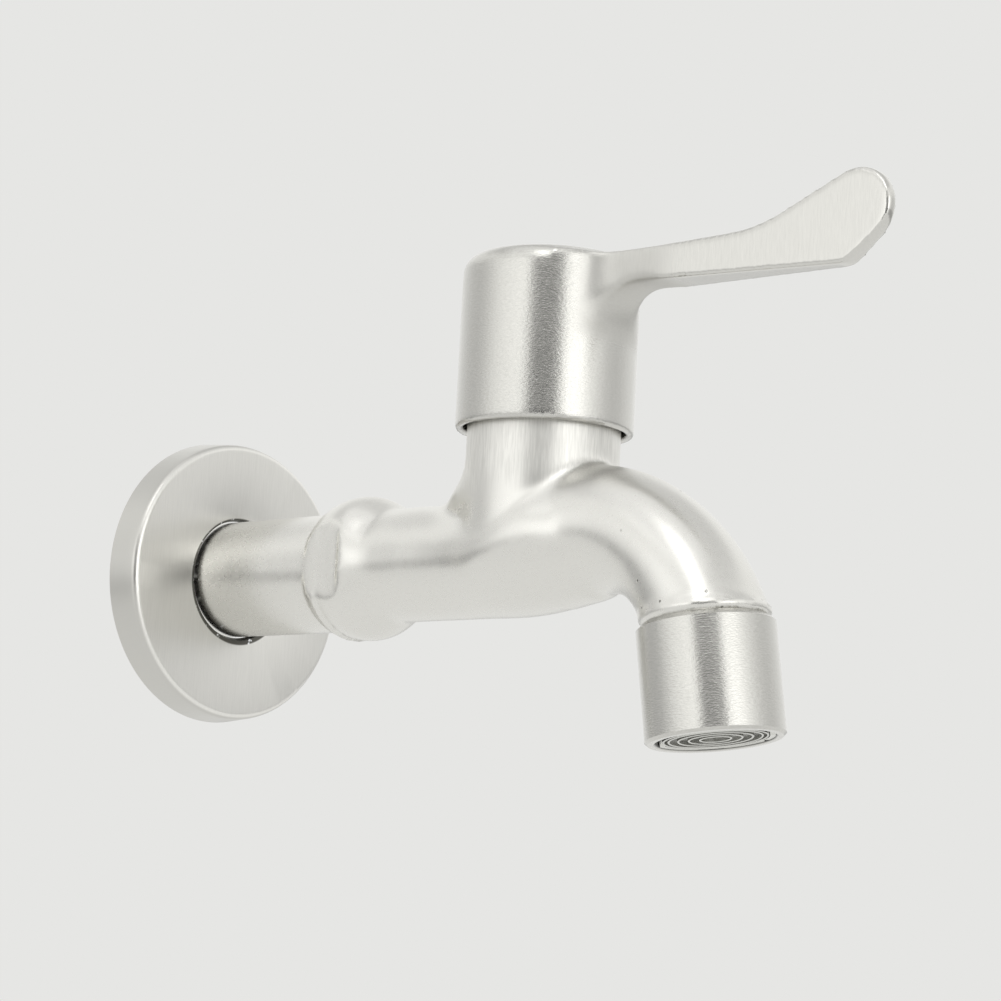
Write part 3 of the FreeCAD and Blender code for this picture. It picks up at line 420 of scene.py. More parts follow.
@dataclass(frozen=True)
class CastStainless(Finish):
    """Investment-cast stainless steel, linished by hand and glass-blasted.

    It gives the eye a soft satin sheen over a slightly uneven skin, with a fine orange peel, a few
    small pits on the spout and upright grinding marks on the neck.
    """

    bright: str = "DAD9D5"
    dull: str = "D5D4D0"
    satin: Pair = (0.27, 0.292)
    peel_mm: float = 0.9
    peel_depth_mm: float = 0.003
    swell_mm: float = 8.0
    swell_depth_mm: float = 0.09
    # The neck: the height where its grinding starts, its marks, their colours and its roughness.
    neck_level_mm: Pair = (8.0, 15.0)
    mark_width_mm: float = 0.3
    mark_length_mm: float = 4.5
    mark_range: Pair = (0.3, 0.7)
    mark_dull: str = "D6D5D1"
    mark_bright: str = "E6E5E1"
    neck_roughness: float = 0.42
    # The pits: how far out from the wall they start, how near they lie and how they gather in patches.
    pit: str = "8E8D89"
    pit_start_mm: Pair = (90.0, 98.0)
    pit_gap_mm: float = 2.4
    pit_edge: Pair = (0.12, 0.05)
    pit_depth_mm: float = 0.12
    patch_mm: float = 6.0
    patch_range: Pair = (0.55, 0.62)

    def looks(self, nodes: Nodes) -> dict[str, Socket | float]:
        """What the shader gets.

        Args:
            nodes: the material's nodes.

        Returns:
            Colour, roughness and normal.
        """
        parts = nodes.add("ShaderNodeSeparateXYZ", {0: nodes.place}).node.outputs
        peel = nodes.unevenness((self.peel_mm,) * 3, detail=1.0)
        swell = nodes.unevenness((self.swell_mm,) * 3, detail=1.5)
        marks = nodes.unevenness((self.mark_width_mm, self.mark_width_mm, self.mark_length_mm))
        on_neck = nodes.zone((parts["Z"], *metres(self.neck_level_mm)))
        skin = nodes.add("ShaderNodeMix", {0: on_neck, 2: peel, 3: marks})
        holes = self.pits(nodes, parts["X"])
        ground = nodes.coats(self.mark_dull, (nodes.zone((marks, *self.mark_range)), self.mark_bright))
        satin = nodes.gloss(skin, self.mark_range, self.satin)
        metal = nodes.add("ShaderNodeMath", {0: 1.0, 1: holes}, operation="SUBTRACT")
        under = {}
        for height, depth in ((skin, self.peel_depth_mm), (swell, self.swell_depth_mm), (metal, self.pit_depth_mm)):
            under["Normal"] = nodes.add("ShaderNodeBump", {"Height": height, "Distance": depth * MM, **under})
        return {"Base Color": nodes.coats(self.dull, (skin, self.bright), (on_neck, ground), (holes, self.pit)),
                "Roughness": nodes.add("ShaderNodeMix", {0: on_neck, 2: satin, 3: self.neck_roughness}), **under}

    def pits(self, nodes: Nodes, along: Socket) -> Socket:
        """Small scattered casting pits, which the linishing left on the spout's side.

        Args:
            nodes: the material's nodes.
            along: the distance out from the wall.

        Returns:
            1 in a pit, 0 elsewhere.
        """
        spots = nodes.add("ShaderNodeTexVoronoi", {"Vector": nodes.place, "Scale": 1.0 / (self.pit_gap_mm * MM)},
                          "Distance")
        patches = nodes.unevenness((self.patch_mm,) * 3, detail=1.0)
        return nodes.zone((spots, *self.pit_edge), (patches, *self.patch_range),
                          (along, *metres(self.pit_start_mm)))


@dataclass(frozen=True)
class PlainFinish(Finish):
    """A finish for small and inner pieces, with a faint moulded or turned unevenness.

    It gives the eye one even colour that is nowhere quite the same.
    """

    metallic: float = 0.0
    roughness: float = 0.5
    # The roughness varies by this much to both sides.
    spread: float = 0.06
    grain_mm: float = 0.5
    depth_mm: float = 0.01

    def looks(self, nodes: Nodes) -> dict[str, Socket | float]:
        """What the shader gets: colour, roughness and normal, all from one grain."""
        grain = nodes.unevenness((self.grain_mm,) * 3)
        roughness = tuple(self.roughness + side * self.spread for side in SIDES)
        return {"Base Color": nodes.coats(self.dull, (grain, self.bright)),
                "Roughness": nodes.gloss(grain, (0.0, 1.0), roughness),
                "Normal": nodes.add("ShaderNodeBump", {"Height": grain, "Distance": self.depth_mm * MM})}


@dataclass(frozen=True)
class WovenWire(Finish):
    """Stainless steel wire woven to a fine gauze.

    It gives the eye a grey net whose holes are painted dark as the shade behind the gauze, of a soft sheen.
    """

    bright: str = "A4A4A0"
    dull: str = "7A7A76"
    turn: Triple = (0.0, OUTLET_TILT, 0.3)
    roughness: float = 0.4
    # The gauze is a closed disc, and its holes are painted dark as the shade behind it.
    hole_shade: str = "3A3A38"
    # Real aerator gauze has 0.25 mm from wire to wire: drawn at twice that to show.
    pitch_mm: float = 0.5
    wire_edge: Pair = (0.35, 0.75)
    wire_depth_mm: float = 0.08
    worn_mm: float = 3.0
    worn_range: Pair = (0.35, 0.6)

    def looks(self, nodes: Nodes) -> dict[str, Socket | float]:
        """What the shader gets.

        Args:
            nodes: the material's nodes.

        Returns:
            Colour, roughness and normal.
        """
        # One wave of this texture is a twentieth of 2 pi long at a scale of 1.
        scale = math.tau / 20.0 / (self.pitch_mm * MM)
        over, under = (nodes.add("ShaderNodeTexWave", {"Vector": nodes.place, "Scale": scale}, "Fac",
                                 bands_direction=direction) for direction in "XY")
        wires = nodes.add("ShaderNodeMath", {0: over, 1: under}, operation="MAXIMUM")
        net = nodes.zone((wires, *self.wire_edge))
        clean = nodes.zone((nodes.unevenness((self.worn_mm,) * 3, detail=1.0), *self.worn_range))
        # Painted shade in the holes between the wires.
        dull, bright = (nodes.coats(self.hole_shade, (net, wire)) for wire in (self.dull, self.bright))
        return {"Base Color": nodes.coats(dull, (clean, bright)), "Roughness": self.roughness,
                "Normal": nodes.add("ShaderNodeBump", {"Height": wires, "Distance": self.wire_depth_mm * MM})}


CAST_BODY = CastStainless("satin_cast_stainless_steel")
CAP_AND_LEVER = BrushedCasting("brushed_stainless_steel_lever")
AERATOR_STEEL = BrushedSleeve("brushed_stainless_steel_aerator")
FLANGE_STEEL = BrushedSheet("brushed_stainless_steel_sheet", bright="EAE9E5", dull="D9D8D4",
                            roughness=(0.28, 0.36), depth_mm=0.010)
# Bright flanks, a little clouded by the die.
THREAD_STEEL = PlainFinish("cut_stainless_steel_thread", "C8C7C3", "B2B1AD", metallic=1.0, roughness=0.26,
                           grain_mm=0.3)
# Grey and soft, as cold-drawn wire is.
SCREEN_STEEL = PlainFinish("drawn_stainless_steel_wire", "B4B4B0", "8E8E8A", metallic=1.0, roughness=0.35)
# Pale edges that catch the light, and satin sides.
RING_STEEL = PlainFinish("pressed_stainless_steel_rings", "D8D8D4", "BCBCB8", metallic=1.0, roughness=0.34)
RETAINER_STEEL = PlainFinish("stamped_stainless_steel_ring", "E0E0DC", "C8C8C4", metallic=1.0, roughness=0.30)
GAUZE = WovenWire("woven_stainless_steel_gauze")
# Nearly black with a dull metal sheen.
SPRING_STEEL = PlainFinish("phosphated_spring_steel", "5A5A5C", "3E3E40", metallic=1.0, roughness=0.42)
# Warm yellow, bright from the lathe.
BRASS = PlainFinish("turned_brass", "D8B56A", "C29C50", metallic=1.0, roughness=0.28, grain_mm=0.3)
# Ivory white and glossy, as the faces are lapped flat.
ALUMINA = PlainFinish("lapped_alumina_ceramic", "F0EEE8", "E6E3DB", roughness=0.18, depth_mm=0.002)
# Matt black.
RUBBER = PlainFinish("moulded_nitrile_rubber", "262626", "1A1A1A", roughness=0.6)
# White or grey with the soft sheen of the mould.
WHITE_ACETAL = PlainFinish("moulded_white_acetal", "E8E8E2", "DCDCD6", roughness=0.42)
GREY_ACETAL = PlainFinish("moulded_grey_acetal", "9A9C9E", "8A8C8E", roughness=0.45)


def to_mesh(work: BMesh, name: str) -> bpy.types.Mesh:
    """Make a bmesh a mesh.

    Args:
        work: the bmesh; freed here.
        name: the mesh's name.

    Returns:
        The mesh.
    """
    mesh = bpy.data.meshes.new(name)
    work.to_mesh(mesh)
    work.free()
    return mesh


def to_scene(data: bpy.types.ID, name: str) -> bpy.types.Object:
    """Put a mesh, a lamp or a camera into the scene.

    Args:
        data: what the object holds.
        name: the object's name.

    Returns:
        The object.
    """
    holder = bpy.data.objects.new(name, data)
    bpy.context.scene.collection.objects.link(holder)
    return holder


def node_copy(node: str) -> BMesh:
    """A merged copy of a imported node's mesh.

    Args:
        node: the CAD node.

    Returns:
        The copy as a bmesh, doubles merged.
    """
    work = bmesh.new()
    work.from_mesh(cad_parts[node].data)
    before = len(work.verts)
    bmesh.ops.remove_doubles(work, verts=work.verts, dist=SAME_POINT)
    log.info("%s: %d points merged to %d", node, before, len(work.verts))
    return work


@dataclass(frozen=True)
class Region:
    """A part of a skin, round about a line, that is softened more than the rest."""

    start_mm: Triple
    radius_mm: float
    passes: int
    end_mm: Triple | None = None
    # At the line the share would be this much; it falls evenly to 0 at the edge and is cut off at 1.
    fullness: float = 1.8

    def share(self, place: Vector) -> float:
        """How much a point takes part.

        Args:
            place: the point, in metres.

        Returns:
            1 near the line, 0 from the region's edge on.
        """
        spot, start = place / MM, Vector(self.start_mm)
        run = Vector(self.end_mm or self.start_mm) - start
        along = 0.0
        if run.length > 0.0:
            along = max(0.0, min(1.0, (spot - start).dot(run) / run.length_squared))
        away = (spot - start - run * along).length / self.radius_mm
        return max(0.0, min(1.0, self.fullness - self.fullness * away))

    def on_side(self, side: float) -> "Region":
        """The same region on one side of the tap.

        Args:
            side: 1 as it is written, -1 mirrored.

        Returns:
            The region.
        """
        start, end = ((x, y * side, z) for x, y, z in (self.start_mm, self.end_mm or self.start_mm))
        return replace(self, start_mm=start, end_mm=end)


@dataclass(frozen=True)
class Above:
    """The part of a skin above a level, softened as one region."""

    level_mm: float
    passes: int
    edge_mm: float = 0.5

    def share(self, place: Vector) -> float:
        """How much a point takes part.

        Args:
            place: the point, in metres.

        Returns:
            1 from a short way above the level on, 0 below it.
        """
        return max(0.0, min(1.0, (place.z / MM - self.level_mm) / self.edge_mm))


def evaluated_copy(mesh: bpy.types.Mesh, add_modifiers: Callable[[bpy.types.Object], None]) -> BMesh:
    """Run modifiers on a mesh.

    Args:
        mesh: the mesh; removed here.
        add_modifiers: adds the modifiers to the object that holds the mesh.

    Returns:
        The mesh with its modifiers applied.
    """
    holder = to_scene(mesh, "skin")
    add_modifiers(holder)
    evaluated = holder.evaluated_get(bpy.context.evaluated_depsgraph_get())
    skin = bmesh.new()
    skin.from_mesh(evaluated.data)
    bpy.data.objects.remove(holder)
    bpy.data.meshes.remove(mesh)
    return skin


def even_skin(work: BMesh, voxel_mm: float) -> BMesh:
    """Give a mesh one even skin.

    Args:
        work: the mesh; freed here.
        voxel_mm: the new skin's grid.

    Returns:
        The skin.
    """
    # The grid lies at an odd angle to every straight edge, so that none of them steps along it.
    skew = Euler((0.54, 0.75, 0.30)).to_matrix().to_4x4()
    bmesh.ops.transform(work, matrix=skew, verts=work.verts)

    def remesh(holder: bpy.types.Object) -> None:
        """Add the remesh modifier.

        Args:
            holder: the object that holds the mesh.
        """
        modifier = holder.modifiers.new("remesh", "REMESH")
        modifier.mode = "VOXEL"
        modifier.voxel_size = voxel_mm * MM

    skin = evaluated_copy(to_mesh(work, "skin"), remesh)
    bmesh.ops.transform(skin, matrix=skew.inverted(), verts=skin.verts)
    log.info("even skin: %d points", len(skin.verts))
    return skin


def relax(skin: BMesh, passes: int, regions: tuple[Region | Above, ...] = ()) -> BMesh:
    """Round a skin's creases, some regions more than the rest.

    Args:
        skin: the skin; freed here.
        passes: how often every point moves towards its neighbours.
        regions: the regions that are softened more.

    Returns:
        The softened skin.
    """
    mesh = to_mesh(skin, "skin")

    def soften(holder: bpy.types.Object) -> None:
        """Add one smoothing for the whole, and one for each region.

        Args:
            holder: the object that holds the mesh.
        """
        holder.modifiers.new("all", "SMOOTH").iterations = passes
        for i, region in enumerate(regions):
            group = holder.vertex_groups.new(name=f"region_{i}")
            for point in mesh.vertices:
                share = region.share(point.co)
                if share > 0.0:
                    group.add((point.index,), share, "REPLACE")
            modifier = holder.modifiers.new(group.name, "SMOOTH")
            modifier.iterations = region.passes
            modifier.vertex_group = group.name

    return evaluated_copy(mesh, soften)


def finish_piece(work: BMesh, name: str, body: Body, finish: Finish, node: str, sharp: float = 32.0) -> None:
    """Make a bmesh a named piece that rides on a body.

    Args:
        work: the mesh, in metres; freed here.
        name: the piece's name.
        body: the CAD body it moves with.
        finish: its finish.
        node: the CAD node that it stands for.
        sharp: edges that bend by more than this many degrees stay crisp.
    """
    limit = math.radians(sharp)
    for face in work.faces:
        face.smooth = True
    for edge in work.edges:
        edge.smooth = not (edge.is_manifold and edge.calc_face_angle(0.0) > limit)
    mesh = to_mesh(work, name)
    piece = to_scene(mesh, name)
    mesh.materials.append(finish.material())
    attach(piece, body.value)
    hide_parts(node)
    log.info("%s: %d faces on %s", name, len(mesh.polygons), body.value)


def off_shank_axis(point: bmesh.types.BMVert) -> float:
    """How far a point lies from the shank's axis, in metres."""
    return math.hypot(point.co.y, point.co.z)


def draw_to(point: bmesh.types.BMVert, radius: float) -> None:
    """Move a point straight towards the shank's axis, or away from it.

    Args:
        point: the point.
        radius: its new distance from the axis, in metres.
    """
    share = radius / off_shank_axis(point)
    point.co.y *= share
    point.co.z *= share


@dataclass
class Casting:
    """The tap's body: the softened casting and the thread cut on its inlet."""

    voxel_mm: float = 0.55
    passes: int = 2
    # Edges of a softened skin that bend by more degrees than this stay crisp.
    crisp: float = 50.0
    # The plain runs are smoothed all over, which leaves the neck's top, the collar and the thread crisp.
    plain_runs: tuple[Region, ...] = (
        Region((3.0, 0.0, 0.0), 20.0, 10, end_mm=(32.0, 0.0, 0.0)),
        Region((36.0, 0.0, 0.0), 26.0, 10, end_mm=(90.0, 0.0, 3.0)),
        Region((93.0, 0.0, 3.0), 18.0, 10, end_mm=(110.5, 0.0, -4.0)),
        Region((93.0, 0.0, 13.0), 8.0, 28),
    )
    # Behind the boss, at the neck's foot and where the neck meets the spout, on both sides.
    side_hollows: tuple[Region, ...] = (
        Region((47.5, 11.0, 0.5), 8.5, 63),
        Region((63.0, 0.0, 12.0), 9.0, 77, end_mm=(71.0, 11.0, 9.0)),
        Region((90.0, 9.0, 11.0), 8.0, 28),
    )
    # The boss steps out from the shank, and its two spanner flats lie level with the shank's sides.
    shank_radius_mm: float = 10.65
    boss_start_mm: float = 34.0
    boss_before_mm: float = 3.0
    boss_after_mm: float = 12.0
    boss_rim_mm: float = 11.3
    boss_swell: float = 0.42
    swell_length_mm: float = 3.0
    bore_clear_mm: float = 9.0
    flat_half_mm: float = 10.72
    flat_end_mm: float = 42.4
    flat_run_out: float = 1.5
    rim_reach_mm: float = 20.0
    rim_passes: int = 5
    # The casting's end lies a little inside the cut thread's end, and its skin a little under the thread.
    casting_end_mm: float = -14.7
    under_thread_mm: float = -0.5
    under_root_mm: float = 0.25
    # G 1/2: 14 threads to the inch, 1.162 mm deep. The profile is its share of a pitch, and crest or root.
    pitch_mm: float = 1.814
    thread_depth_mm: float = 1.162
    profile: tuple[tuple[float, bool], ...] = ((0.0, True), (0.1, True), (0.42, False), (0.58, False), (0.9, True),
                                               (1.0, True))
    thread_foot_mm: float = -0.2
    chamfer_mm: float = 1.2
    bore_mm: float = 7.4
    steps: int = 72

    def build(self) -> None:
        """Skin the casting and cut its thread."""
        regions = list(self.plain_runs)
        for side in SIDES:
            regions += [region.on_side(side) for region in self.side_hollows]
        skin = relax(even_skin(node_copy("body"), self.voxel_mm), self.passes, tuple(regions))
        self.sharpen_boss(skin)
        skin = relax(skin, 1, (Region((self.boss_start_mm, 0.0, 0.0), self.rim_reach_mm, self.rim_passes),))
        root = (THREAD_RADIUS - self.thread_depth_mm - self.under_root_mm) * MM
        for point in skin.verts:
            point.co.x = max(point.co.x, self.casting_end_mm * MM)
            if point.co.x < self.under_thread_mm * MM and off_shank_axis(point) > root:
                draw_to(point, root)
        finish_piece(skin, "body_casting", Body.TAP, CAST_BODY, "body", self.crisp)
        finish_piece(self.thread(), "inlet_thread", Body.TAP, THREAD_STEEL, "body")

    def sharpen_boss(self, skin: BMesh) -> None:
        """Make the boss's step crisper again and press its two sides flat.

        Args:
            skin: the casting's skin.
        """
        start = self.boss_start_mm
        for point in skin.verts:
            along, reach = point.co.x / MM, off_shank_axis(point) / MM
            if reach < self.bore_clear_mm or not start - self.boss_before_mm < along < start + self.boss_after_mm:
                continue
            if along <= start:
                draw_to(point, min(reach, self.shank_radius_mm) * MM)
                continue
            if along <= start + self.swell_length_mm:
                draw_to(point, max(reach, self.boss_rim_mm + (along - start) * self.boss_swell) * MM)
            most = self.flat_half_mm + max(0.0, along - self.flat_end_mm) * self.flat_run_out
            if abs(point.co.y) > most * MM:
                point.co.y = math.copysign(most * MM, point.co.y)

    def thread(self) -> BMesh:
        """A helical thread on a sleeve, from one pitch of its profile spun and moved along the shank.

        Returns:
            The thread.
        """
        work = bmesh.new()
        crest = THREAD_RADIUS * MM
        root = crest - self.thread_depth_mm * MM
        pitch = self.pitch_mm * MM
        start = -(THREAD_LENGTH * MM) - pitch
        points = [work.verts.new((start + share * pitch, 0.0, crest if on_crest else root))
                  for share, on_crest in self.profile]
        edges = [work.edges.new(pair) for pair in zip(points, points[1:])]
        turns = math.ceil(THREAD_LENGTH / self.pitch_mm) + 1
        bmesh.ops.spin(work, geom=points + edges, cent=(0, 0, 0), axis=(1, 0, 0),
                       dvec=(pitch / self.steps, 0, 0), angle=math.tau * turns, steps=self.steps * turns,
                       use_merge=False)
        bmesh.ops.remove_doubles(work, verts=work.verts, dist=2.0 * SAME_POINT)
        self.close_sleeve(work)
        for point in work.verts:
            most = (THREAD_RADIUS - self.chamfer_mm + (point.co.x / MM + THREAD_LENGTH)) * MM
            if off_shank_axis(point) > most:
                draw_to(point, most)
        bmesh.ops.recalc_face_normals(work, faces=work.faces)
        return work

    def close_sleeve(self, work: BMesh) -> None:
        """Cut the thread square at both ends and close it with a bore.

        Args:
            work: the open thread.
        """
        ends = ((-THREAD_LENGTH * MM, -1.0), (self.thread_foot_mm * MM, 1.0))
        for end, outside in ends:
            everything = list(work.verts) + list(work.edges) + list(work.faces)
            bmesh.ops.bisect_plane(work, geom=everything, dist=ON_CUT, plane_co=(end, 0, 0),
                                   plane_no=(outside, 0, 0), clear_outer=True)
        inner = []
        for end, _ in ends:
            rim = [e for e in work.edges if e.is_boundary and all(abs(v.co.x - end) < SAME_POINT for v in e.verts)]
            grown = bmesh.ops.extrude_edge_only(work, edges=rim)["geom"]
            for point in (g for g in grown if isinstance(g, bmesh.types.BMVert)):
                draw_to(point, self.bore_mm * MM)
            inner += [g for g in grown if isinstance(g, bmesh.types.BMEdge)]
        bmesh.ops.bridge_loops(work, edges=inner)


@dataclass
class WallFlange:
    """The pressed cup that covers the hole in the wall."""

    # The hole hangs this much below the shank's axis; its lip is drawn in to touch the shank all round.
    sag_mm: float = 0.4
    hole_mm: float = 11.25
    lip_mm: float = 13.0
    drawn_hole_mm: float = 10.82

    def build(self) -> None:
        """Dress the flange."""
        work = node_copy("wall_flange")
        for point in work.verts:
            away = Vector((point.co.y, point.co.z + self.sag_mm * MM))
            near = (self.lip_mm * MM - away.length) / ((self.lip_mm - self.hole_mm) * MM)
            if near > 0.0:
                drawn = away.normalized() * self.drawn_hole_mm * MM
                point.co.y += (drawn.x - point.co.y) * min(1.0, near)
                point.co.z += (drawn.y - point.co.z) * min(1.0, near)
        finish_piece(work, "wall_flange_cup", Body.FLANGE, FLANGE_STEEL, "wall_flange")


@dataclass
class Lever:
    """The cap and lever, in one casting."""

    voxel_mm: float = 0.37
    passes: int = 4
    last_passes: int = 2
    crisp: float = 50.0
    # The lever's near lower edge stays crisp below this level; above it the edges are well rounded.
    top: Above = Above(46.2, 11)
    # The hollow between cap and lever: beside the lever on both sides, and under it.
    beside_root: Region = Region((VALVE_X + 14.5, 6.6, 39.5), 6.5, 91, end_mm=(VALVE_X + 20.0, 4.4, 44.0))
    under_root: Region = Region((VALVE_X + 16.0, -5.0, 38.5), 6.0, 63, end_mm=(VALVE_X + 16.0, 5.0, 38.5))
    cap_radius_mm: float = 15.1
    cap_inside_mm: float = 14.3
    side_levels: Pair = (23.0, 47.5)
    # The blade's half thickness where it leaves the cap, its taper, and the round between them seen from above.
    blade_half_mm: float = 4.3
    blade_start_mm: float = 18.4
    blade_slim_end_mm: float = 34.0
    blade_taper: float = 0.0625
    root_round_mm: float = 6.0

    def build(self) -> None:
        """Skin the handle, with its upper edges rounded more than its lower ones."""
        skin = even_skin(node_copy("handle"), self.voxel_mm)
        self.slim_root(skin)
        skin = even_skin(skin, self.voxel_mm)
        regions = (self.top, *(self.beside_root.on_side(side) for side in SIDES), self.under_root)
        skin = relax(skin, self.passes, regions)
        self.keep_round(skin)
        skin = relax(skin, self.last_passes)
        finish_piece(skin, "cap_and_lever", Body.LEVER, CAP_AND_LEVER, "handle", self.crisp)

    def slim_root(self, skin: BMesh) -> None:
        """Draw the lever's root in to a short round between the cap's side and the blade.

        Args:
            skin: the handle's skin.
        """
        cap, round_off = self.cap_radius_mm, self.root_round_mm
        turn = math.asin((self.blade_half_mm + round_off) / (cap + round_off))
        middle = (cap + round_off) * math.cos(turn)
        leaves = cap * math.cos(turn)
        for point in skin.verts:
            along, across = point.co.x / MM - VALVE_X, point.co.y / MM
            reach = math.hypot(along, across)
            if reach <= cap or along <= 0.0 or along > self.blade_slim_end_mm:
                continue
            if along <= leaves:
                point.co.x = (VALVE_X + along * cap / reach) * MM
                point.co.y *= cap / reach
                continue
            most = self.blade_half_mm - max(0.0, along - self.blade_start_mm) * self.blade_taper
            if along < middle:
                most = self.blade_half_mm + round_off - math.sqrt(round_off**2 - (middle - along) ** 2)
            if abs(across) > most:
                point.co.y = math.copysign(most * MM, across)

    def keep_round(self, skin: BMesh) -> None:
        """Press the cap's side back to its true round where the softening drew it in.

        Args:
            skin: the handle's skin.
        """
        low, high = self.side_levels
        inside, cap = self.cap_inside_mm * MM, self.cap_radius_mm * MM
        for point in skin.verts:
            across, along = point.co.y, point.co.x - VALVE_X * MM
            reach = math.hypot(along, across)
            if low * MM < point.co.z < high * MM and inside < reach < cap:
                point.co.x = VALVE_X * MM + along * cap / reach
                point.co.y = across * cap / reach


@dataclass
class Aerator:
    """The housing on the outlet, and the ring, the grid and the gauze in its mouth."""

    # The middle of the housing's mouth; heights below are measured from it up into the housing.
    mouth_mm: Triple = (118.02, 0.0, -30.27)
    steps: int = 90
    retainer_radii: Pair = (8.5, 9.38)
    retainer_low: float = 0.35
    retainer_recess: float = 1.7
    retainer_top: float = 1.84
    # Where the retaining ring comes down to the mouth, and where its two nicks are, in degrees.
    retainer_reach: Pair = (33.0, 198.0)
    nick: Pair = (66.0, 71.0)
    slot: Pair = (117.0, 147.0)
    slot_depth: float = 0.4
    grid_radii: tuple[float, ...] = (2.45, 4.2, 5.86, 7.37, 8.2)
    grid_wall: float = 0.34
    grid_round: float = 0.34 / 3.5
    grid_low: float = 0.32
    grid_top: float = 2.84
    gauze_radius: float = 8.1
    gauze_low: float = 0.95
    gauze_top: float = 3.14

    def build(self) -> None:
        """Dress the housing and build what shows in its mouth."""
        for make, name, finish, node in (
            (lambda: node_copy("aerator_housing"), "aerator_sleeve", AERATOR_STEEL, "aerator_housing"),
            (self.retainer, "aerator_retainer", RETAINER_STEEL, "aerator_retaining_ring"),
            (self.grid, "aerator_rings", RING_STEEL, "aerator_ring_grid"),
            (self.gauze, "aerator_gauze", GAUZE, "aerator_screen"),
        ):
            finish_piece(make(), name, Body.TAP, finish, node)

    def turned(self, work: BMesh, outline: tuple[Pair, ...]) -> None:
        """Turn a closed outline about the mouth's upright axis.

        Args:
            work: the mesh to add to.
            outline: radius and height of each corner, in millimetres.
        """
        corners = [work.verts.new((radius * MM, 0.0, height * MM)) for radius, height in outline]
        edges = [work.edges.new(pair) for pair in zip(corners, corners[1:] + corners[:1])]
        bmesh.ops.spin(work, geom=corners + edges, cent=(0, 0, 0), axis=(0, 0, 1), angle=math.tau,
                       steps=self.steps, use_merge=True)

    def placed(self, work: BMesh) -> BMesh:
        """Set a mesh made about the upright axis into the tilted mouth.

        Args:
            work: the mesh.

        Returns:
            The same mesh, in its place.
        """
        bmesh.ops.remove_doubles(work, verts=work.verts, dist=SAME_POINT)
        bmesh.ops.recalc_face_normals(work, faces=work.faces)
        place = Matrix.Translation(Vector(self.mouth_mm) * MM) @ Matrix.Rotation(-OUTLET_TILT, 4, "Y")
        bmesh.ops.transform(work, matrix=place, verts=work.verts)
        return work

    def retainer(self) -> BMesh:
        """The open retaining ring, with its nick and its slot.

        Returns:
            The ring.
        """
        work = bmesh.new()
        inner, outer = self.retainer_radii
        self.turned(work, ((inner, self.retainer_recess), (outer, self.retainer_recess),
                           (outer, self.retainer_top), (inner, self.retainer_top)))
        near_mm = 0.1
        for point in work.verts:
            if point.co.z > (self.retainer_recess + near_mm) * MM:
                continue
            turn = math.degrees(math.atan2(point.co.y, point.co.x)) % 360.0
            if self.retainer_reach[0] < turn < self.retainer_reach[1] and not self.nick[0] < turn < self.nick[1]:
                point.co.z = self.retainer_low * MM
            reach = math.hypot(point.co.x, point.co.y)
            if self.slot[0] < turn < self.slot[1] and reach > (outer - near_mm) * MM:
                point.co.x *= 1.0 - self.slot_depth * MM / reach
                point.co.y *= 1.0 - self.slot_depth * MM / reach
        return self.placed(work)

    def grid(self) -> BMesh:
        """Thin upright rings with rounded lower edges.

        Returns:
            The rings.
        """
        work = bmesh.new()
        half, edge = self.grid_wall / 2.0, self.grid_round
        low, top = self.grid_low, self.grid_top
        for radius in self.grid_radii:
            self.turned(work, ((radius - half, top), (radius - half, low + edge), (radius - half + edge, low),
                               (radius + half - edge, low), (radius + half, low + edge), (radius + half, top)))
        return self.placed(work)

    def gauze(self) -> BMesh:
        """The woven gauze between the rings, as a closed disc.

        Returns:
            The disc.
        """
        work = bmesh.new()
        height = self.gauze_top - self.gauze_low
        bmesh.ops.create_cone(work, cap_ends=True, segments=self.steps, radius1=self.gauze_radius * MM,
                              radius2=self.gauze_radius * MM, depth=height * MM)
        bmesh.ops.translate(work, verts=work.verts, vec=(0.0, 0.0, (self.gauze_low + height / 2.0) * MM))
        return self.placed(work)


@dataclass
class InnerPieces:
    """Carried-over CAD nodes, which keep their shape and get a finish."""

    finishes: tuple[tuple[Finish, tuple[str, ...]], ...] = (
        (SCREEN_STEEL, ("aerator_dome_screen", "handle_screw")),
        (SPRING_STEEL, ("spindle_clip",)),
        (BRASS, ("cartridge_shell", "cartridge_spindle")),
        (ALUMINA, ("moving_disc", "fixed_disc")),
        (RUBBER, ("seat_seal", "shell_o_ring", "aerator_washer", "spindle_o_ring_upper", "spindle_o_ring_lower")),
        (WHITE_ACETAL, ("friction_washer",)),
        (GREY_ACETAL, ("aerator_core", "aerator_diffuser")),
    )

    def build(self) -> None:
        """Give each node its material."""
        for finish, nodes in self.finishes:
            for node in nodes:
                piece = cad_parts[node]
                if not piece.material_slots:
                    piece.data.materials.append(None)
                for place in piece.material_slots:
                    place.material = finish.material()
                log.info("%s: %s", node, finish.name)


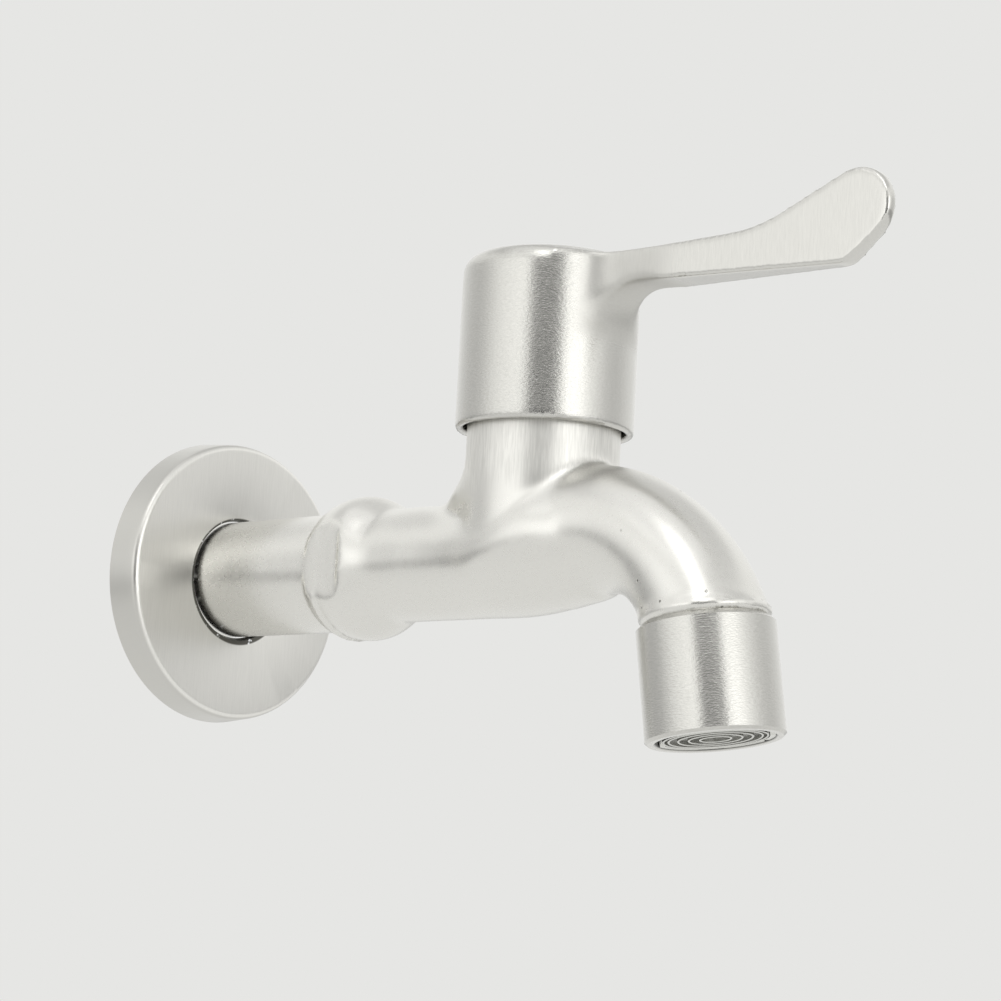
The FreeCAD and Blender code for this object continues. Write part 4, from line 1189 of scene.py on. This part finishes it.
@dataclass
class Studio:
    """The floor, the soft light and the camera at the photograph's viewing angle."""

    floor_z: float = -0.30
    floor_radius: float = 1.5
    floor_steps: int = 96
    floor: str = "CFCFCC"
    floor_roughness: float = 0.9
    # How the metal mirrors the floor: as an even glow, a little paler than the floor itself looks.
    floor_mirrored: str = "F2F2F0"
    floor_glow: float = 1.10
    azimuth: float = 0.73394
    elevation: float = -0.15271
    roll: float = 0.0535
    distance: float = 0.45031
    target: Triple = (0.07015, 0.0, 0.01086)
    # The lens that gives the photograph's view on a 36 mm wide sensor.
    lens: float = 95.15
    sensor: float = 36.0
    # Brightness of the studio's walls, by degrees to the right of the direction behind the camera.
    walls: tuple[Pair, ...] = (
        (-180, 1.05), (-142, 0.95), (-123, 0.80), (-109, 0.76), (-97, 0.80), (-88, 0.95), (-76, 1.22), (-67, 1.36),
        (-58, 1.46), (-49, 1.54), (-41, 1.62), (-30, 1.80), (0, 1.80), (20, 2.10), (40, 2.20), (48, 1.78),
        (58, 1.40), (70, 1.10), (79, 0.92), (89, 0.82), (101, 0.80), (113, 0.88), (128, 1.00), (150, 1.05),
        (180, 1.05),
    )
    # The light is a little warm: its blue is this share of its red and green.
    warmth: float = 0.985
    # The dark doorway behind the camera: its sides in degrees, and its lower and upper end as a slope.
    doorway: Pair = (-27.0, 16.0)
    doorway_edge: float = 3.0
    doorway_low: Pair = (-0.14, -0.06)
    doorway_high: Pair = (0.52, 0.40)
    doorway_depth: float = 0.80
    # The walls are darker below the tap's level.
    skirting: Pair = (0.02, -0.03)
    skirting_depth: float = 0.38
    # The ceiling has a paler edge and a darker middle: each one's heights and colour.
    ceiling: tuple[tuple[float, float, tuple], ...] = (
        (0.26, 0.52, (1.12, 1.12, 1.10, 1.0)),
        (0.60, 0.80, (0.82, 0.82, 0.81, 1.0)),
    )
    # The long lamp on the ceiling, from over the doorway to above the tap: its left and right side and its
    # far and near end as shares of the view, each from where it starts to show to where it is full.
    strip_left: Pair = (-0.33, -0.23)
    strip_right: Pair = (0.03, -0.07)
    strip_low: Pair = (0.50, 0.62)
    strip_high: Pair = (0.96, 0.84)
    strip_behind: Pair = (-0.35, -0.15)
    strip_level: float = 2.6
    background: str = "E6E6E4"
    lamp_place: Triple = (0.15, -0.35, 0.9)
    lamp_size: float = 1.1
    lamp_power: float = 1.2

    def build(self) -> None:
        """Make the floor, the lights and the camera."""
        self.lay_floor()
        self.light_room()
        self.hang_lamp()
        self.set_camera()

    def lay_floor(self) -> None:
        """A plain pale floor well below the tap, which hangs free."""
        work = bmesh.new()
        bmesh.ops.create_circle(work, cap_ends=True, radius=self.floor_radius, segments=self.floor_steps)
        bmesh.ops.translate(work, verts=work.verts, vec=(0.0, 0.0, self.floor_z))
        mesh = to_mesh(work, "floor")
        material, nodes, shader = new_material("pale_floor")
        nodes.give(shader, {"Base Color": self.floor, "Roughness": self.floor_roughness})
        mirrored = nodes.add("ShaderNodeLightPath", output="Is Glossy Ray")
        glow = nodes.add("ShaderNodeEmission", {"Color": self.floor_mirrored, "Strength": self.floor_glow})
        either = nodes.add("ShaderNodeMixShader", {0: mirrored, 1: shader.outputs[0], 2: glow})
        nodes.give(next(n for n in nodes.tree.nodes if n.type == "OUTPUT_MATERIAL"), {"Surface": either})
        mesh.materials.append(material)
        to_scene(mesh, "floor")

    def light_room(self) -> None:
        """Soft pale walls and ceiling, with a dark doorway behind the camera and a long lamp overhead."""
        world = bpy.data.worlds.new("studio")
        bpy.context.scene.world = world
        world.use_nodes = True
        nodes = Nodes(world.node_tree)
        look = nodes.add("ShaderNodeTexCoord", output="Generated")
        turned = nodes.add("ShaderNodeVectorRotate", {"Vector": look, "Angle": -self.azimuth},
                           rotation_type="Z_AXIS")
        parts = nodes.add("ShaderNodeSeparateXYZ", {0: turned}).node.outputs
        across, height = parts["X"], parts["Z"]
        front = nodes.add("ShaderNodeMath", {0: parts["Y"], 1: -1.0}, operation="MULTIPLY")
        angle = nodes.add("ShaderNodeMath", {0: across, 1: front}, operation="ARCTAN2")
        left, right = (math.radians(side) for side in self.doorway)
        edge = math.radians(self.doorway_edge)
        dark = nodes.zone((angle, left - edge, left + edge), (angle, right + edge, right - edge),
                          (height, *self.doorway_low), (height, *self.doorway_high))
        below = nodes.zone((height, *self.skirting))
        lit = 1.0
        for where, depth in ((dark, self.doorway_depth), (below, self.skirting_depth)):
            lit = nodes.add("ShaderNodeMath", {0: where, 1: -depth, 2: lit}, operation="MULTIPLY_ADD")
        room = self.wall_light(nodes, angle)
        for share in (lit, self.brightest()):
            room = nodes.add("ShaderNodeVectorMath", {0: room, 3: share}, operation="SCALE")
        lamp = nodes.zone((across, *self.strip_left), (across, *self.strip_right), (height, *self.strip_low),
                          (height, *self.strip_high), (front, *self.strip_behind))
        seen = nodes.add("ShaderNodeLightPath", output="Is Camera Ray")
        ceiling = ((nodes.zone((height, start, full)), colour) for start, full, colour in self.ceiling)
        room = nodes.coats(room, *ceiling, (lamp, self.warm(self.strip_level)), (seen, self.background))
        nodes.give(next(n for n in nodes.tree.nodes if n.type == "BACKGROUND"), {"Color": room, "Strength": 1.0})

    def brightest(self) -> float:
        """The walls' highest brightness."""
        return max(value for _, value in self.walls)

    def warm(self, level: float) -> tuple[float, float, float, float]:
        """A slightly warm light of a given brightness."""
        return level, level, level * self.warmth, 1.0

    def wall_light(self, nodes: Nodes, angle: Socket) -> Socket:
        """The walls' light by direction.

        Args:
            nodes: the world's nodes.
            angle: the direction, in radians to the right of the one behind the camera.

        Returns:
            The light, as a share of the brightest.
        """
        share = nodes.add("ShaderNodeMapRange", {"Value": angle, "From Min": -math.pi, "From Max": math.pi})
        light = nodes.add("ShaderNodeValToRGB", {0: share})
        elements = light.node.color_ramp.elements
        elements[0].position, elements[1].position = 0.0, 1.0
        for degrees, _ in self.walls[1:-1]:
            elements.new((degrees + 180) / 360)
        for element, (_, value) in zip(elements, self.walls):
            element.color = self.warm(value / self.brightest())
        return light

    def hang_lamp(self) -> None:
        """One large soft lamp above."""
        lamp = bpy.data.lights.new("soft_top", "AREA")
        lamp.energy = self.lamp_power
        lamp.size = self.lamp_size
        holder = to_scene(lamp, "soft_top")
        holder.location = self.lamp_place
        aim = Vector(self.target) - Vector(self.lamp_place)
        holder.rotation_euler = aim.to_track_quat("-Z", "Y").to_euler()

    def set_camera(self) -> None:
        """The photograph's viewpoint."""
        back = Vector((math.sin(self.azimuth) * math.cos(self.elevation),
                       -math.cos(self.azimuth) * math.cos(self.elevation), math.sin(self.elevation)))
        right = Vector((math.cos(self.azimuth), math.sin(self.azimuth), 0.0))
        up = back.cross(right)
        across = right * math.cos(self.roll) + up * math.sin(self.roll)
        over = up * math.cos(self.roll) - right * math.sin(self.roll)
        data = bpy.data.cameras.new("camera")
        data.lens = self.lens
        data.sensor_width = self.sensor
        camera = to_scene(data, "camera")
        turn = Matrix((across, over, back)).transposed().to_4x4()
        camera.matrix_world = Matrix.Translation(Vector(self.target) + back * self.distance) @ turn
        bpy.context.scene.camera = camera
        bpy.context.scene.view_settings.view_transform = "Standard"


def main() -> None:
    """Build every piece."""
    logging.basicConfig(level=logging.INFO, format="%(name)s: %(message)s")
    Studio().build()
    for assembly in (Casting, WallFlange, Lever, Aerator, InnerPieces):
        assembly().build()


if __name__ == "__main__":
    main()
